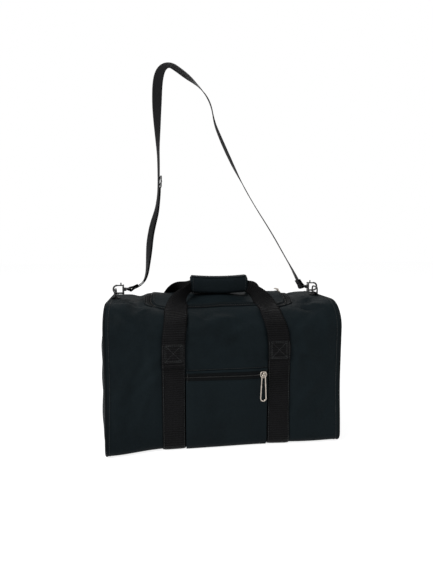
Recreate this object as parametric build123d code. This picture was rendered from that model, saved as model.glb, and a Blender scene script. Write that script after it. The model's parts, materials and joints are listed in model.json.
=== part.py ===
from build123d import *
import math
import os

# Small travel duffel bag. Millimetres, +Z up, +X along the bag, -Y towards its front.
# The origin is the middle of the base.

# Overall sizes
BAG_LENGTH = 400.0
BAG_DEPTH = 200.0
BAG_HEIGHT = 245.0
TOP_RADIUS = 45.0
BOTTOM_RADIUS = 15.0
SHELL_WALL = 2.0
END_WALL = 2.0
PIPING_D = 5.0

# Stiff board that lies inside on the base
BOARD_THICK = 3.0
BOARD_GAP = 4.0
BOARD_LIFT = 0.3

# Top flap and its opening
LID_HALF_LENGTH = 122.0
LID_FRONT_Y = -48.0
LID_REAR_Y = 48.0
LID_CORNER = 40.0
LID_REAR_CORNER = 4.0
ZIP_GAP = 4.0
HINGE_GAP = 1.5
LID_PIPING_D = 3.0
LID_PIPING_INSET = 3.0
TAPE_WIDTH = 8.0
TAPE_THICK = 0.8
COIL_D = 2.4

# Flat webbing of the handles
WEB_WIDTH = 38.0
WEB_THICK = 2.5
WEB_X = 88.0
SEWN_GAP = 0.05
WEB_TUCK_DEG = 50.0
SHOULDER_DEG = 65.0
STITCH_BOX = 30.0
STITCH_BOX_Z = 168.0
STITCH_THICK = 0.6

# Free arches of the handles and their padded wrap
ARCH_RISE_DEG = 25.0
ARCH_START = 1.6
ARCH_LIFT = 0.3
CREASE_LIFT = 0.5
SEWN_END_GAP = 1.6
ARCH_LENGTH = 68.5
ARCH_NECK = 25.0
GRIP_LENGTH = 103.0
GRIP_DEPTH = 16.0
GRIP_HEIGHT = 29.0
GRIP_GAP = 0.2
GRIP_STRIP_WIDTH = 20.0
GRIP_LIFT = 0.5

# Front pocket
POCKET_SIDE_GAP = 1.0
POCKET_WIDTH = 2 * (WEB_X - WEB_WIDTH / 2 - POCKET_SIDE_GAP)
POCKET_ZIP_Z = 127.0
POCKET_BAND = 16.0
POCKET_PANEL_THICK = 2.0
POCKET_TAPE_THICK = 1.2
PANEL_GAP = 0.5
SLIDER = (12.0, 3.5, 9.0)
SLIDER_GAP = 0.4
SLIDER_END_GAP = 7.5
POCKET_SLIDER_X = POCKET_WIDTH / 2 - SLIDER_END_GAP
PULL_WIDTH = 9.0
PULL_LENGTH = 45.0
PULL_WIRE_D = 2.0
PULL_CLEARANCE = 0.3
LUG = (3.0, 5.0)

# Slider of the top flap's zip, parked at the rear right
LID_SLIDER = (8.0, 12.0, 3.5)
LID_SLIDER_Y = 40.0
LID_PULL_LENGTH = 22.0
LID_PULL_WIDTH = 6.0

# D-ring and its tab at each end
RING_INSET = 12.0
RING_X = BAG_LENGTH / 2 - RING_INSET
RING_HALF_WIDTH = 12.5
RING_RISE = 13.5
RING_WIRE_D = 3.0
RING_CLEARANCE = 0.3
TAB = (10.0, 20.0, 6.0)

# Swivel snap hook at each end of the shoulder strap
HOOK_WIRE_D = 3.2
HOOK_REACH = 8.0
HOOK_HALF_HEIGHT = 7.0
HOOK_BASE = (3.0, 7.0)
BARREL_LENGTH = 4.0
BARREL_D = 6.4
PIN_D = 2.4
PIN_CLEARANCE = 0.1
GATE_D = 2.4
GATE_PIN_D = 1.4
EYE_WIRE_D = 3.0
EYE_DEPTH = 5.5
HARDWARE_GAP = 0.3

# Shoulder strap, one flat band held up in a loop that leans back
STRAP_WIDTH = 25.0
STRAP_THICK = 2.0
LAYER_GAP = 0.3
STRAP_LEAN_DEG = 12.0
FOLD_LENGTH = 14.0
FOLD_THICK = 7.0
FOLD_DEG = {"left": 25.0, "right": 60.0}
ADJUSTER = (22.0, 33.0, 3.0)
ADJUSTER_BAR = 3.0
ADJUSTER_AT = 42.0

# The route of the strap, sideways and up the leaning plane, from the left fold to the right fold
STRAP_ROUTE = [
    (-140.5, 9.8),
    (-132.5, 24.0),
    (-129.0, 56.0),
    (-125.0, 104.0),
    (-109.0, 160.0),
    (-107.0, 222.0),
    (-108.0, 290.0),
    (-109.0, 352.0),
    (-107.0, 404.0),
    (-99.0, 430.0),
    (-83.0, 438.0),
    (-66.0, 427.0),
    (-46.0, 411.0),
    (-20.0, 388.0),
    (-4.0, 360.0),
    (1.0, 322.0),
    (12.0, 292.0),
    (26.0, 258.0),
    (42.0, 222.0),
    (70.0, 166.0),
    (106.0, 106.0),
    (129.0, 62.0),
    (143.0, 36.0),
    (150.0, 21.0),
]
ADJUSTER_RUN = 4

# Places worked out from the sizes above
HALF_DEPTH = BAG_DEPTH / 2
END_FACE = BAG_LENGTH / 2 - PIPING_D
SHELL_HALF = END_FACE - END_WALL
TOP_CENTRE = (HALF_DEPTH - TOP_RADIUS, BAG_HEIGHT - TOP_RADIUS)
BOTTOM_CENTRE = (HALF_DEPTH - BOTTOM_RADIUS, BOTTOM_RADIUS)
WEB_OUTER_R = TOP_RADIUS + SEWN_GAP + WEB_THICK
ARCH_R = WEB_OUTER_R - WEB_THICK / 2 + ARCH_LIFT
CREASE_R = WEB_OUTER_R + CREASE_LIFT
RING_BAR_Z = BAG_HEIGHT + TAB[2] / 2
RING_TOP_Z = RING_BAR_Z + RING_RISE
STRAP_AXIS_Z = RING_TOP_Z
HOOK_X = RING_X - HOOK_REACH + (HOOK_WIRE_D + RING_WIRE_D) / 2 + HARDWARE_GAP
HOOK_BASE_X = HOOK_X - HOOK_REACH - HOOK_BASE[0]
BARREL_X = HOOK_BASE_X - BARREL_LENGTH
EYE_OUTER_X = BARREL_X - HARDWARE_GAP - EYE_WIRE_D / 2
EYE_BAR_X = EYE_OUTER_X - EYE_DEPTH
PULL_Y = HALF_DEPTH + COIL_D + SLIDER_GAP + SLIDER[1] + LUG[1] / 2 - 0.5
SIDES = {"left": -1, "right": 1}
FACES = {"front": -1, "rear": 1}


def polar(centre, radius, degrees):
    """The point at an angle above the horizontal, as (y, z)."""
    a = math.radians(degrees)
    return centre[0] + radius * math.cos(a), centre[1] + radius * math.sin(a)


def shoulder(radius):
    """The point of the rear top corner where the webbing leaves the bag, at a distance from its centre."""
    return polar(TOP_CENTRE, radius, SHOULDER_DEG)


def across(sketch, low, high):
    """A sketch of the bag's section, carried along X from low to high."""
    return extrude(Plane.YZ.offset(low) * sketch, amount=high - low)


def block(low, high):
    """A box between two opposite corners."""
    size = [b - a for a, b in zip(low, high)]
    middle = [(a + b) / 2 for a, b in zip(low, high)]
    return Pos(*middle) * Box(*size)


def rod(radius, start, end):
    """A round bar from one point to another."""
    path = Line(start, end)
    return sweep(Plane(origin=path @ 0, z_dir=path % 0) * Circle(radius), path=path)


def wire_loop(plane, corners, radii, wire_d):
    """A closed loop of round wire through a plane outline with rounded corners."""
    outline = Polygon(*corners, align=None)
    for corner, radius in zip(corners, radii):
        outline = fillet(outline.vertices().sort_by_distance((*corner, 0))[0], radius)
    path = plane * outline.face().outer_wire()
    return sweep(Plane(origin=path @ 0, z_dir=path % 0) * Circle(wire_d / 2), path=path)


def facing(shape, side):
    """A shape made for the rear or the right, turned over to the front where it belongs there."""
    return shape if side > 0 else mirror(shape, about=Plane.XZ)


def on_side(shape, side):
    """A shape made for the right end, mirrored to the left end where it belongs there."""
    return shape if side > 0 else mirror(shape, about=Plane.YZ)


# Shell

def bag_section(inset=0.0):
    """The bag's section, y across and z up, shrunk by inset all round."""
    half = HALF_DEPTH - inset
    corners = [(-half, inset), (half, inset), (half, BAG_HEIGHT - inset), (-half, BAG_HEIGHT - inset)]
    outline = Polygon(*corners, align=None)
    outline = fillet(outline.vertices().group_by(Axis.Y)[0], BOTTOM_RADIUS - inset)
    return fillet(outline.vertices().group_by(Axis.Y)[-1], TOP_RADIUS - inset)


def flap_outline(grow=0.0, rear_y=LID_REAR_Y):
    """The top flap seen from above, grown by a margin at its zipped sides."""
    half = LID_HALF_LENGTH + grow
    front = LID_FRONT_Y - grow
    corners = [(-half, front), (half, front), (half, rear_y), (-half, rear_y)]
    outline = Polygon(*corners, align=None)
    outline = fillet(outline.vertices().group_by(Axis.Y)[0], LID_CORNER + grow)
    return fillet(outline.vertices().group_by(Axis.Y)[-1], LID_REAR_CORNER)


def body_panel():
    tube = across(bag_section() - bag_section(SHELL_WALL), -SHELL_HALF, SHELL_HALF)
    mouth = flap_outline(ZIP_GAP, LID_REAR_Y + HINGE_GAP)
    cut = extrude(Pos(0, 0, BAG_HEIGHT - 2 * SHELL_WALL) * mouth, amount=4 * SHELL_WALL)
    return tube - cut


def end_panel(side):
    return on_side(across(bag_section(), SHELL_HALF, END_FACE), side)


def end_piping(side):
    plane = Plane.YZ.offset(END_FACE + PIPING_D / 2)
    path = plane * bag_section(PIPING_D / 2).face().outer_wire()
    return on_side(sweep(Plane(origin=path @ 0, z_dir=path % 0) * Circle(PIPING_D / 2), path=path), side)


def base_board():
    half_x = SHELL_HALF - BOARD_GAP
    half_y = HALF_DEPTH - BOTTOM_RADIUS
    low = SHELL_WALL + BOARD_LIFT
    return block((-half_x, -half_y, low), (half_x, half_y, low + BOARD_THICK))


# Top flap

def lid_panel():
    return extrude(Pos(0, 0, BAG_HEIGHT - SHELL_WALL) * flap_outline(), amount=SHELL_WALL)


def zip_path(inset, rear_inset):
    """A U along the flap's sides and front edge, inside the flap's outline by inset."""
    half = LID_HALF_LENGTH - inset
    front = LID_FRONT_Y + inset
    rear = LID_REAR_Y - rear_inset
    points = [(-half, rear), (-half, front), (half, front), (half, rear)]
    return FilletPolyline(*points, radius=LID_CORNER - inset)


def lid_piping():
    path = Pos(0, 0, BAG_HEIGHT + LID_PIPING_D / 2) * zip_path(LID_PIPING_INSET, LID_PIPING_INSET)
    return sweep(Plane(origin=path @ 0, z_dir=path % 0) * Circle(LID_PIPING_D / 2), path=path)


def opening_coil():
    path = Pos(0, 0, BAG_HEIGHT - COIL_D / 2 + TAPE_THICK) * zip_path(-ZIP_GAP / 2, 0.0)
    return sweep(Plane(origin=path @ 0, z_dir=path % 0) * Circle(COIL_D / 2), path=path)


def opening_tape():
    """The zip tape sewn round the opening's sides and front, on top of the body panel."""
    tape = flap_outline(ZIP_GAP + TAPE_WIDTH) - flap_outline(ZIP_GAP, LID_REAR_Y + HINGE_GAP)
    return extrude(Pos(0, 0, BAG_HEIGHT) * tape, amount=TAPE_THICK)


# Handles

def sewn_web(face, x):
    """Webbing sewn up one face of the bag, from under its bottom edge to the shoulder."""
    inner_r = TOP_RADIUS + SEWN_GAP
    outer_r = inner_r + WEB_THICK
    end = SHOULDER_DEG - math.degrees(SEWN_END_GAP / WEB_OUTER_R)
    tuck = -WEB_TUCK_DEG
    low_in = BOTTOM_RADIUS + SEWN_GAP
    low_out = low_in + WEB_THICK
    in_y = HALF_DEPTH + SEWN_GAP
    out_y = in_y + WEB_THICK
    outline = [
        ThreePointArc(polar(BOTTOM_CENTRE, low_in, tuck), polar(BOTTOM_CENTRE, low_in, tuck / 2),
                      (in_y, BOTTOM_RADIUS)),
        Line((in_y, BOTTOM_RADIUS), (in_y, TOP_CENTRE[1])),
        ThreePointArc((in_y, TOP_CENTRE[1]), polar(TOP_CENTRE, inner_r, end / 2),
                      polar(TOP_CENTRE, inner_r, end)),
        Line(polar(TOP_CENTRE, inner_r, end), polar(TOP_CENTRE, outer_r, end)),
        ThreePointArc(polar(TOP_CENTRE, outer_r, end), polar(TOP_CENTRE, outer_r, end / 2),
                      (out_y, TOP_CENTRE[1])),
        Line((out_y, TOP_CENTRE[1]), (out_y, BOTTOM_RADIUS)),
        ThreePointArc((out_y, BOTTOM_RADIUS), polar(BOTTOM_CENTRE, low_out, tuck / 2),
                      polar(BOTTOM_CENTRE, low_out, tuck)),
        Line(polar(BOTTOM_CENTRE, low_out, tuck), polar(BOTTOM_CENTRE, low_in, tuck)),
    ]
    return facing(across(make_face(outline), x - WEB_WIDTH / 2, x + WEB_WIDTH / 2), face)


def stitch_patch(face, x):
    """The thick box-and-cross stitching that holds the webbing's top end."""
    half = STITCH_BOX / 2
    near = HALF_DEPTH + SEWN_GAP + WEB_THICK
    low = (x - half, near, STITCH_BOX_Z - half)
    high = (x + half, near + STITCH_THICK, STITCH_BOX_Z + half)
    return facing(block(low, high), face)


def arch_plane():
    """The rear arch's own plane: x along the bag, y up the slope towards the grip."""
    rise = math.radians(ARCH_RISE_DEG)
    return Plane(origin=(0, *shoulder(ARCH_R)), x_dir=(1, 0, 0),
                 z_dir=(0, -math.sin(rise), -math.cos(rise)))


def arch_strip(extra=0.0):
    """The straight middle stretch of the arch, which the wrap closes round."""
    thick = WEB_THICK + 2 * extra
    return Pos(0, ARCH_LENGTH - GRIP_STRIP_WIDTH / 2, 0) * Box(GRIP_LENGTH, GRIP_STRIP_WIDTH, thick)


def handle_arch(face):
    """A flat band in the sloping plane: two wide feet that lean in to a narrower middle."""
    foot_out = WEB_X + WEB_WIDTH / 2
    foot_in = WEB_X - WEB_WIDTH / 2
    half = GRIP_LENGTH / 2
    neck = ARCH_LENGTH - ARCH_NECK
    leg = [(foot_in, ARCH_START), (foot_out, ARCH_START), (foot_out - 6, neck * 0.55),
           (half + 12, ARCH_LENGTH - 6), (half, ARCH_LENGTH),
           (half, ARCH_LENGTH - GRIP_STRIP_WIDTH), (half + 6, ARCH_LENGTH - GRIP_STRIP_WIDTH),
           (foot_in - 3, neck * 0.5)]
    right = extrude(Pos(0, 0, -WEB_THICK / 2) * Polygon(*leg, align=None), amount=WEB_THICK)
    band = right + mirror(right, about=Plane.YZ) + arch_strip()
    return facing(arch_plane() * band, face)


def grip_half(face):
    """Half of the padded wrap, closed round its own webbing and meeting the other half."""
    y, z = shoulder(ARCH_R)
    middle_z = z + (y - GRIP_DEPTH / 2) * math.tan(math.radians(ARCH_RISE_DEG)) + GRIP_LIFT
    section = Pos(GRIP_DEPTH / 2 + GRIP_GAP, middle_z) * Rectangle(GRIP_DEPTH, GRIP_HEIGHT)
    section = fillet(section.vertices().group_by(Axis.X)[-1], GRIP_DEPTH / 2 + 2)
    pad = across(section, -GRIP_LENGTH / 2, GRIP_LENGTH / 2)
    return facing(pad - arch_plane() * arch_strip(), face)


# Front pocket

def pocket_panel():
    """The pocket's outer cloth, from under the bottom edge up to the zip."""
    top = POCKET_ZIP_Z - POCKET_BAND / 2 - PANEL_GAP
    in_r = BOTTOM_RADIUS + SEWN_GAP
    out_r = in_r + POCKET_PANEL_THICK
    in_y = HALF_DEPTH + SEWN_GAP
    out_y = in_y + POCKET_PANEL_THICK
    tuck = -WEB_TUCK_DEG
    outline = [
        ThreePointArc(polar(BOTTOM_CENTRE, in_r, tuck), polar(BOTTOM_CENTRE, in_r, tuck / 2),
                      (in_y, BOTTOM_RADIUS)),
        Line((in_y, BOTTOM_RADIUS), (in_y, top)),
        Line((in_y, top), (out_y, top)),
        Line((out_y, top), (out_y, BOTTOM_RADIUS)),
        ThreePointArc((out_y, BOTTOM_RADIUS), polar(BOTTOM_CENTRE, out_r, tuck / 2),
                      polar(BOTTOM_CENTRE, out_r, tuck)),
        Line(polar(BOTTOM_CENTRE, out_r, tuck), polar(BOTTOM_CENTRE, in_r, tuck)),
    ]
    return facing(across(make_face(outline), -POCKET_WIDTH / 2, POCKET_WIDTH / 2), -1)


def pocket_tape(side):
    """One half of the pocket's zip tape, below the teeth or above them."""
    near = POCKET_ZIP_Z + side * COIL_D / 2
    far = POCKET_ZIP_Z + side * POCKET_BAND / 2
    y = HALF_DEPTH + SEWN_GAP
    low = (-POCKET_WIDTH / 2, -y - POCKET_TAPE_THICK, min(near, far))
    high = (POCKET_WIDTH / 2, -y, max(near, far))
    return block(low, high)


def pocket_coil():
    y = -(HALF_DEPTH + SEWN_GAP + COIL_D / 2)
    half = POCKET_WIDTH / 2
    return rod(COIL_D / 2, (-half, y, POCKET_ZIP_Z), (half, y, POCKET_ZIP_Z))


def pocket_slider():
    """The slider's body over the teeth, with a pierced lug for the puller."""
    near = HALF_DEPTH + SEWN_GAP + COIL_D + SLIDER_GAP
    x = POCKET_SLIDER_X
    body = block((x - SLIDER[0] / 2, -near - SLIDER[1], POCKET_ZIP_Z - SLIDER[2] / 2),
                 (x + SLIDER[0] / 2, -near, POCKET_ZIP_Z + SLIDER[2] / 2))
    lug_near = near + SLIDER[1] - 0.5
    lug = block((x - LUG[0] / 2, -lug_near - LUG[1], POCKET_ZIP_Z - LUG[1] / 2),
                (x + LUG[0] / 2, -lug_near, POCKET_ZIP_Z + LUG[1] / 2))
    hole = rod(PULL_WIRE_D / 2 + PULL_CLEARANCE, (x - LUG[0], -PULL_Y, POCKET_ZIP_Z),
               (x + LUG[0], -PULL_Y, POCKET_ZIP_Z))
    return body + lug - hole


def pocket_pull():
    """The long wire puller, hanging from the slider's lug."""
    half = PULL_WIDTH / 2
    corners = [(-half, 0), (half, 0), (half, -PULL_LENGTH), (-half, -PULL_LENGTH)]
    plane = Plane(origin=(POCKET_SLIDER_X, -PULL_Y, POCKET_ZIP_Z), x_dir=(1, 0, 0), z_dir=(0, -1, 0))
    return wire_loop(plane, corners, [2.2, 2.2, half - 0.1, half - 0.1], PULL_WIRE_D)


# Slider of the top zip

def lid_slider_x():
    return LID_HALF_LENGTH + HARDWARE_GAP + LID_SLIDER[0] / 2


def lid_slider_base():
    return BAG_HEIGHT + TAPE_THICK + HARDWARE_GAP


def lid_slider():
    x = lid_slider_x()
    base = lid_slider_base()
    half_y = LID_SLIDER[1] / 2
    body = block((x - LID_SLIDER[0] / 2, LID_SLIDER_Y - half_y, base),
                 (x + LID_SLIDER[0] / 2, LID_SLIDER_Y + half_y, base + LID_SLIDER[2]))
    lug_low = base + LID_SLIDER[2] - 0.5
    lug = block((x - LUG[0] / 2, LID_SLIDER_Y - LUG[1] / 2, lug_low),
                (x + LUG[0] / 2, LID_SLIDER_Y + LUG[1] / 2, lug_low + LUG[1]))
    z = lug_low + LUG[1] / 2
    hole = rod(PULL_WIRE_D / 2 + PULL_CLEARANCE, (x - LUG[0], LID_SLIDER_Y, z),
               (x + LUG[0], LID_SLIDER_Y, z))
    return body + lug - hole


def lid_pull():
    """A short wire puller, lying back over the bag's rear edge."""
    half = LID_PULL_WIDTH / 2
    corners = [(-half, 0), (half, 0), (half, LID_PULL_LENGTH), (-half, LID_PULL_LENGTH)]
    z = lid_slider_base() + LID_SLIDER[2] - 0.5 + LUG[1] / 2
    plane = Plane(origin=(lid_slider_x(), LID_SLIDER_Y, z), x_dir=(1, 0, 0), z_dir=(0, 0, 1))
    return wire_loop(plane, corners, [1.2, 1.2, half - 0.1, half - 0.1], PULL_WIRE_D)


# Ring hardware

def ring_tab(side):
    """Webbing folded round the ring's bar and sewn to the top of the bag."""
    low = (RING_X - TAB[0] / 2, -TAB[1] / 2, BAG_HEIGHT)
    high = (RING_X + TAB[0] / 2, TAB[1] / 2, BAG_HEIGHT + TAB[2])
    hole = rod(RING_WIRE_D / 2 + RING_CLEARANCE, (RING_X, -TAB[1], RING_BAR_Z), (RING_X, TAB[1], RING_BAR_Z))
    return on_side(block(low, high) - hole, side)


def d_ring(side):
    half = RING_HALF_WIDTH
    corners = [(-half, 0), (half, 0), (half, RING_RISE), (-half, RING_RISE)]
    plane = Plane(origin=(RING_X, 0, RING_BAR_Z), x_dir=(0, 1, 0), z_dir=(1, 0, 0))
    return on_side(wire_loop(plane, corners, [1.8, 1.8, 5.5, 5.5], RING_WIRE_D), side)


def snap_hook(side):
    """The hook's bow round the ring, its base and the barrel that the eye turns in."""
    z = STRAP_AXIS_Z
    bow_path = Plane(origin=(HOOK_X, 0, z), x_dir=(1, 0, 0), z_dir=(0, -1, 0)) * FilletPolyline(
        (-HOOK_REACH - HOOK_BASE[0] / 2, -HOOK_HALF_HEIGHT),
        (HOOK_REACH, -HOOK_HALF_HEIGHT),
        (HOOK_REACH, HOOK_HALF_HEIGHT),
        (1.2, HOOK_HALF_HEIGHT),
        radius=HOOK_HALF_HEIGHT - 0.6,
    )
    bow = sweep(Plane(origin=bow_path @ 0, z_dir=bow_path % 0) * Circle(HOOK_WIRE_D / 2), path=bow_path)
    reach = HOOK_HALF_HEIGHT + HOOK_WIRE_D / 2 + 0.4
    half = HOOK_BASE[1] / 2
    base = block((HOOK_BASE_X, -half, z - reach), (HOOK_BASE_X + HOOK_BASE[0], half, z + HOOK_HALF_HEIGHT - 2))
    barrel = rod(BARREL_D / 2, (BARREL_X, 0, z), (HOOK_BASE_X, 0, z))
    bore = rod(PIN_D / 2 + PIN_CLEARANCE, (BARREL_X - 1, 0, z), (HOOK_BASE_X + HOOK_BASE[0] - 1, 0, z))
    return on_side(bow + base + barrel - bore, side)


def gate_pivot():
    """The gate's pivot, as (x, z)."""
    return HOOK_BASE_X + HOOK_BASE[0] / 2, STRAP_AXIS_Z + HOOK_HALF_HEIGHT


def hook_gate(side):
    """The sprung lever that closes the bow, with the thumb knob above its pivot end."""
    x, z = gate_pivot()
    lever = rod(GATE_D / 2, (x, 0, z), (HOOK_X + 0.9, 0, z))
    knob = rod(GATE_D / 2, (x + 4, 0, z), (x + 4, 0, z + 5))
    hub = Pos(x, 0, z) * Rot(90, 0, 0) * Cylinder(1.6, HOOK_BASE[1])
    return on_side(lever + knob + hub, side)


# Shoulder strap

def strap_plane():
    lean = math.radians(STRAP_LEAN_DEG)
    return Plane(origin=(0, 0, STRAP_AXIS_Z), x_dir=(1, 0, 0), z_dir=(0, -math.cos(lean), math.sin(lean)))


def fold_end(side):
    """Where the folded end lets go of the band, in the leaning plane."""
    a = math.radians(FOLD_DEG[side])
    return SIDES[side] * (EYE_BAR_X - FOLD_LENGTH * math.cos(a)), FOLD_LENGTH * math.sin(a)


def strap_points():
    return [fold_end("left"), *STRAP_ROUTE, fold_end("right")]


def strap_radii():
    """Each corner's arc, as large as its two runs allow."""
    points = [Vector(*p) for p in strap_points()]
    radii = []
    for before, here, after in zip(points, points[1:], points[2:]):
        turn = (here - before).get_angle(after - here)
        shorter = min((here - before).length, (after - here).length)
        radii.append(0.45 * shorter / math.tan(math.radians(turn / 2)))
    return radii


def band(path, offset=0.0):
    """Flat webbing carried along a path, its width across the leaning plane."""
    section = Plane(origin=path @ 0, x_dir=(0, 0, 1), z_dir=path % 0)
    return sweep(section * (Pos(0, offset) * Rectangle(STRAP_WIDTH, STRAP_THICK)), path=path)


def strap_webbing():
    return strap_plane() * band(FilletPolyline(*strap_points(), radius=strap_radii()))


def adjuster_place():
    """Where the adjuster sits on its run, and the run's direction, in the leaning plane."""
    points = [Vector(*p) for p in strap_points()]
    start = points[ADJUSTER_RUN + 1]
    along = (points[ADJUSTER_RUN + 2] - start).normalized()
    return start + along * ADJUSTER_AT, along


def strap_return():
    """The second layer, back down from the adjuster to the left fold."""
    centre, along = adjuster_place()
    last = centre - along * (ADJUSTER[0] / 2 + LAYER_GAP)
    points = [*strap_points()[:ADJUSTER_RUN + 2], (last.X, last.Y)]
    path = FilletPolyline(*points, radius=strap_radii()[:ADJUSTER_RUN + 1])
    return strap_plane() * band(path, -(STRAP_THICK + LAYER_GAP))


def strap_adjuster():
    """The three-bar slide, flat on the outer side of the band."""
    centre, along = adjuster_place()
    frame = Box(ADJUSTER[0], ADJUSTER[1], ADJUSTER[2])
    slot = (ADJUSTER[0] - 3 * ADJUSTER_BAR) / 2
    for end in (-1, 1):
        window = Box(slot, ADJUSTER[1] - 2 * ADJUSTER_BAR, 2 * ADJUSTER[2])
        frame -= Pos(end * (slot + ADJUSTER_BAR) / 2, 0, 0) * window
    out = Vector(-along.Y, along.X)
    lift = STRAP_THICK / 2 + LAYER_GAP + ADJUSTER[2] / 2
    seat = Plane(origin=centre + out * lift, x_dir=along, z_dir=out)
    return strap_plane() * (seat * frame)


def strap_fold(side):
    """The strap's end, folded round the eye's bar and sewn flat."""
    x = SIDES[side] * EYE_BAR_X
    inward = Vector(*fold_end(side)) - Vector(x, 0)
    place = Plane(origin=(x, 0), x_dir=inward, z_dir=(0, 0, 1))
    length = FOLD_LENGTH - LAYER_GAP
    body = Pos(length / 2, 0) * Rectangle(length, FOLD_THICK) + Circle(FOLD_THICK / 2)
    body -= Circle(EYE_WIRE_D / 2 + HARDWARE_GAP)
    return strap_plane() * (place * extrude(body, amount=STRAP_WIDTH / 2, both=True))


def swivel_eye(side):
    """The wire eye that the strap's end goes round, and the pin it turns on."""
    half = STRAP_WIDTH / 2 + HARDWARE_GAP + EYE_WIRE_D / 2
    corners = [(EYE_BAR_X, -half), (EYE_OUTER_X, -half), (EYE_OUTER_X, half), (EYE_BAR_X, half)]
    flat = Plane(origin=(0, 0, 0), x_dir=(1, 0, 0), z_dir=(0, 1, 0))
    loop = wire_loop(flat, corners, [2.2, 2.2, 2.2, 2.2], EYE_WIRE_D)
    pin = rod(PIN_D / 2, (EYE_OUTER_X, 0, 0), (HOOK_BASE_X + HOOK_BASE[0] - 1.3, 0, 0))
    eye = loop + pin
    if SIDES[side] < 0:
        eye = mirror(eye, about=Plane.YZ)
    return strap_plane() * eye


def pieces():
    made = {
        "body_panel": body_panel(),
        "base_board": base_board(),
        "opening_tape": opening_tape(),
        "opening_coil": opening_coil(),
        "lid_panel": lid_panel(),
        "lid_piping": lid_piping(),
        "pocket_panel": pocket_panel(),
        "pocket_tape_lower": pocket_tape(-1),
        "pocket_tape_upper": pocket_tape(1),
        "pocket_coil": pocket_coil(),
        "pocket_slider": pocket_slider(),
        "pocket_pull": pocket_pull(),
        "lid_slider": lid_slider(),
        "lid_pull": lid_pull(),
        "strap_webbing": strap_webbing(),
        "strap_return": strap_return(),
        "strap_adjuster": strap_adjuster(),
    }
    for side, sign in SIDES.items():
        made[f"{side}_end_panel"] = end_panel(sign)
        made[f"{side}_piping"] = end_piping(sign)
        made[f"{side}_ring_tab"] = ring_tab(sign)
        made[f"{side}_d_ring"] = d_ring(sign)
        made[f"{side}_hook"] = snap_hook(sign)
        made[f"{side}_gate"] = hook_gate(sign)
        made[f"{side}_swivel_eye"] = swivel_eye(side)
        made[f"{side}_strap_fold"] = strap_fold(side)
    for face, way in FACES.items():
        made[f"{face}_handle"] = handle_arch(way)
        made[f"{face}_grip"] = grip_half(way)
        for side, sign in SIDES.items():
            made[f"{face}_{side}_web"] = sewn_web(way, sign * WEB_X)
            made[f"{face}_{side}_stitching"] = stitch_patch(way, sign * WEB_X)
    return made


os.makedirs("parts", exist_ok=True)
for name, shape in pieces().items():
    export_step(shape, f"parts/{name}.step")
print("strap corner radii", [round(r) for r in strap_radii()])
print("handle crease", [round(v, 3) for v in shoulder(CREASE_R)], "strap axis", STRAP_AXIS_Z)
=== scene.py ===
"""A black travel duffel bag, rebuilt in cloth, webbing, zip and hardware around its frame.

Lengths in the geometry functions are millimetres; meshes and the camera are in metres.
"""

import json
import math
from contextlib import contextmanager

import bmesh
import bpy
import numpy as np
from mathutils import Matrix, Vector

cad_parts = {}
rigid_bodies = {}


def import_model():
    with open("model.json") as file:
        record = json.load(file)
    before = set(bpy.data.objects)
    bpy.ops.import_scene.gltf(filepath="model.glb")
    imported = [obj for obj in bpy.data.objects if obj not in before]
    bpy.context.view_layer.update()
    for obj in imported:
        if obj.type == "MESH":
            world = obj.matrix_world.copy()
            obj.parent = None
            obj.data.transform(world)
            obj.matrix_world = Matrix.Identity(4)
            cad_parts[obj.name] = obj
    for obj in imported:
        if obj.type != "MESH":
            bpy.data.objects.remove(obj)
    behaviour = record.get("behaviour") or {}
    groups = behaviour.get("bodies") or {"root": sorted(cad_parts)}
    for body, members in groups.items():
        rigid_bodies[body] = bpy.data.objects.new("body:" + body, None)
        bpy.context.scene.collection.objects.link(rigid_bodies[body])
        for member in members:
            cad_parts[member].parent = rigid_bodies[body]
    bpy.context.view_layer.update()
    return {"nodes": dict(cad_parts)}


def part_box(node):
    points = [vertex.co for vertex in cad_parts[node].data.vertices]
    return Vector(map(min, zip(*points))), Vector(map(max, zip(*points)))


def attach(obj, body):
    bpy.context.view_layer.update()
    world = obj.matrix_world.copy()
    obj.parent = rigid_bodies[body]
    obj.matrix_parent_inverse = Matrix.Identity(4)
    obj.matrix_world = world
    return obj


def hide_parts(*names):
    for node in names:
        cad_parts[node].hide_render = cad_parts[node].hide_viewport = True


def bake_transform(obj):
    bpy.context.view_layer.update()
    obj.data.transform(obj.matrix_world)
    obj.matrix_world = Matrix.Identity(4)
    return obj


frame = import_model()

MM = 0.001
TAU = 2 * math.pi
RIGHT, BACK, UP = np.eye(3)

# The bag's section, from the frame
SHELL_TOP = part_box("body_panel")[1]
HALF_DEPTH = SHELL_TOP.y / MM
HEIGHT = SHELL_TOP.z / MM
SEAM_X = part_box("right_end_panel")[1].x / MM
TOP_RADIUS = 45.0
BOTTOM_RADIUS = 15.0
ROUND_STEPS = 264

# Cloth, webbing, piping and thread
CLOTH = 1.4
WEB_WIDTH = 38.0
WEB_THICK = 2.2
WEB_X = 88.0
SHOULDER_DEG = 65.0
TUCK_DEG = 50.0
STITCH_BOX_Z = 168.0
STITCH_BOX_HALF = 14.0
ARCH_RISE = math.radians(25.0)
PIPING_R = 2.4
THREAD_R = 0.42

# Top flap
FLAP_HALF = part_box("lid_panel")[1].x / MM + 1.0
FLAP_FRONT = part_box("lid_panel")[0].y / MM
FLAP_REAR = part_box("lid_panel")[1].y / MM
FLAP_CORNER = 40.0
ZIP_GAP = 4.0

# Zip teeth
TOOTH_PITCH = 1.6
TOOTH_LENGTH = 2.7
TOOTH_R = 0.62

# Pocket
POCKET_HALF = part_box("pocket_panel")[1].x / MM
POCKET_ZIP_Z = 127.0
BAND_HALF = 8.0

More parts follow.
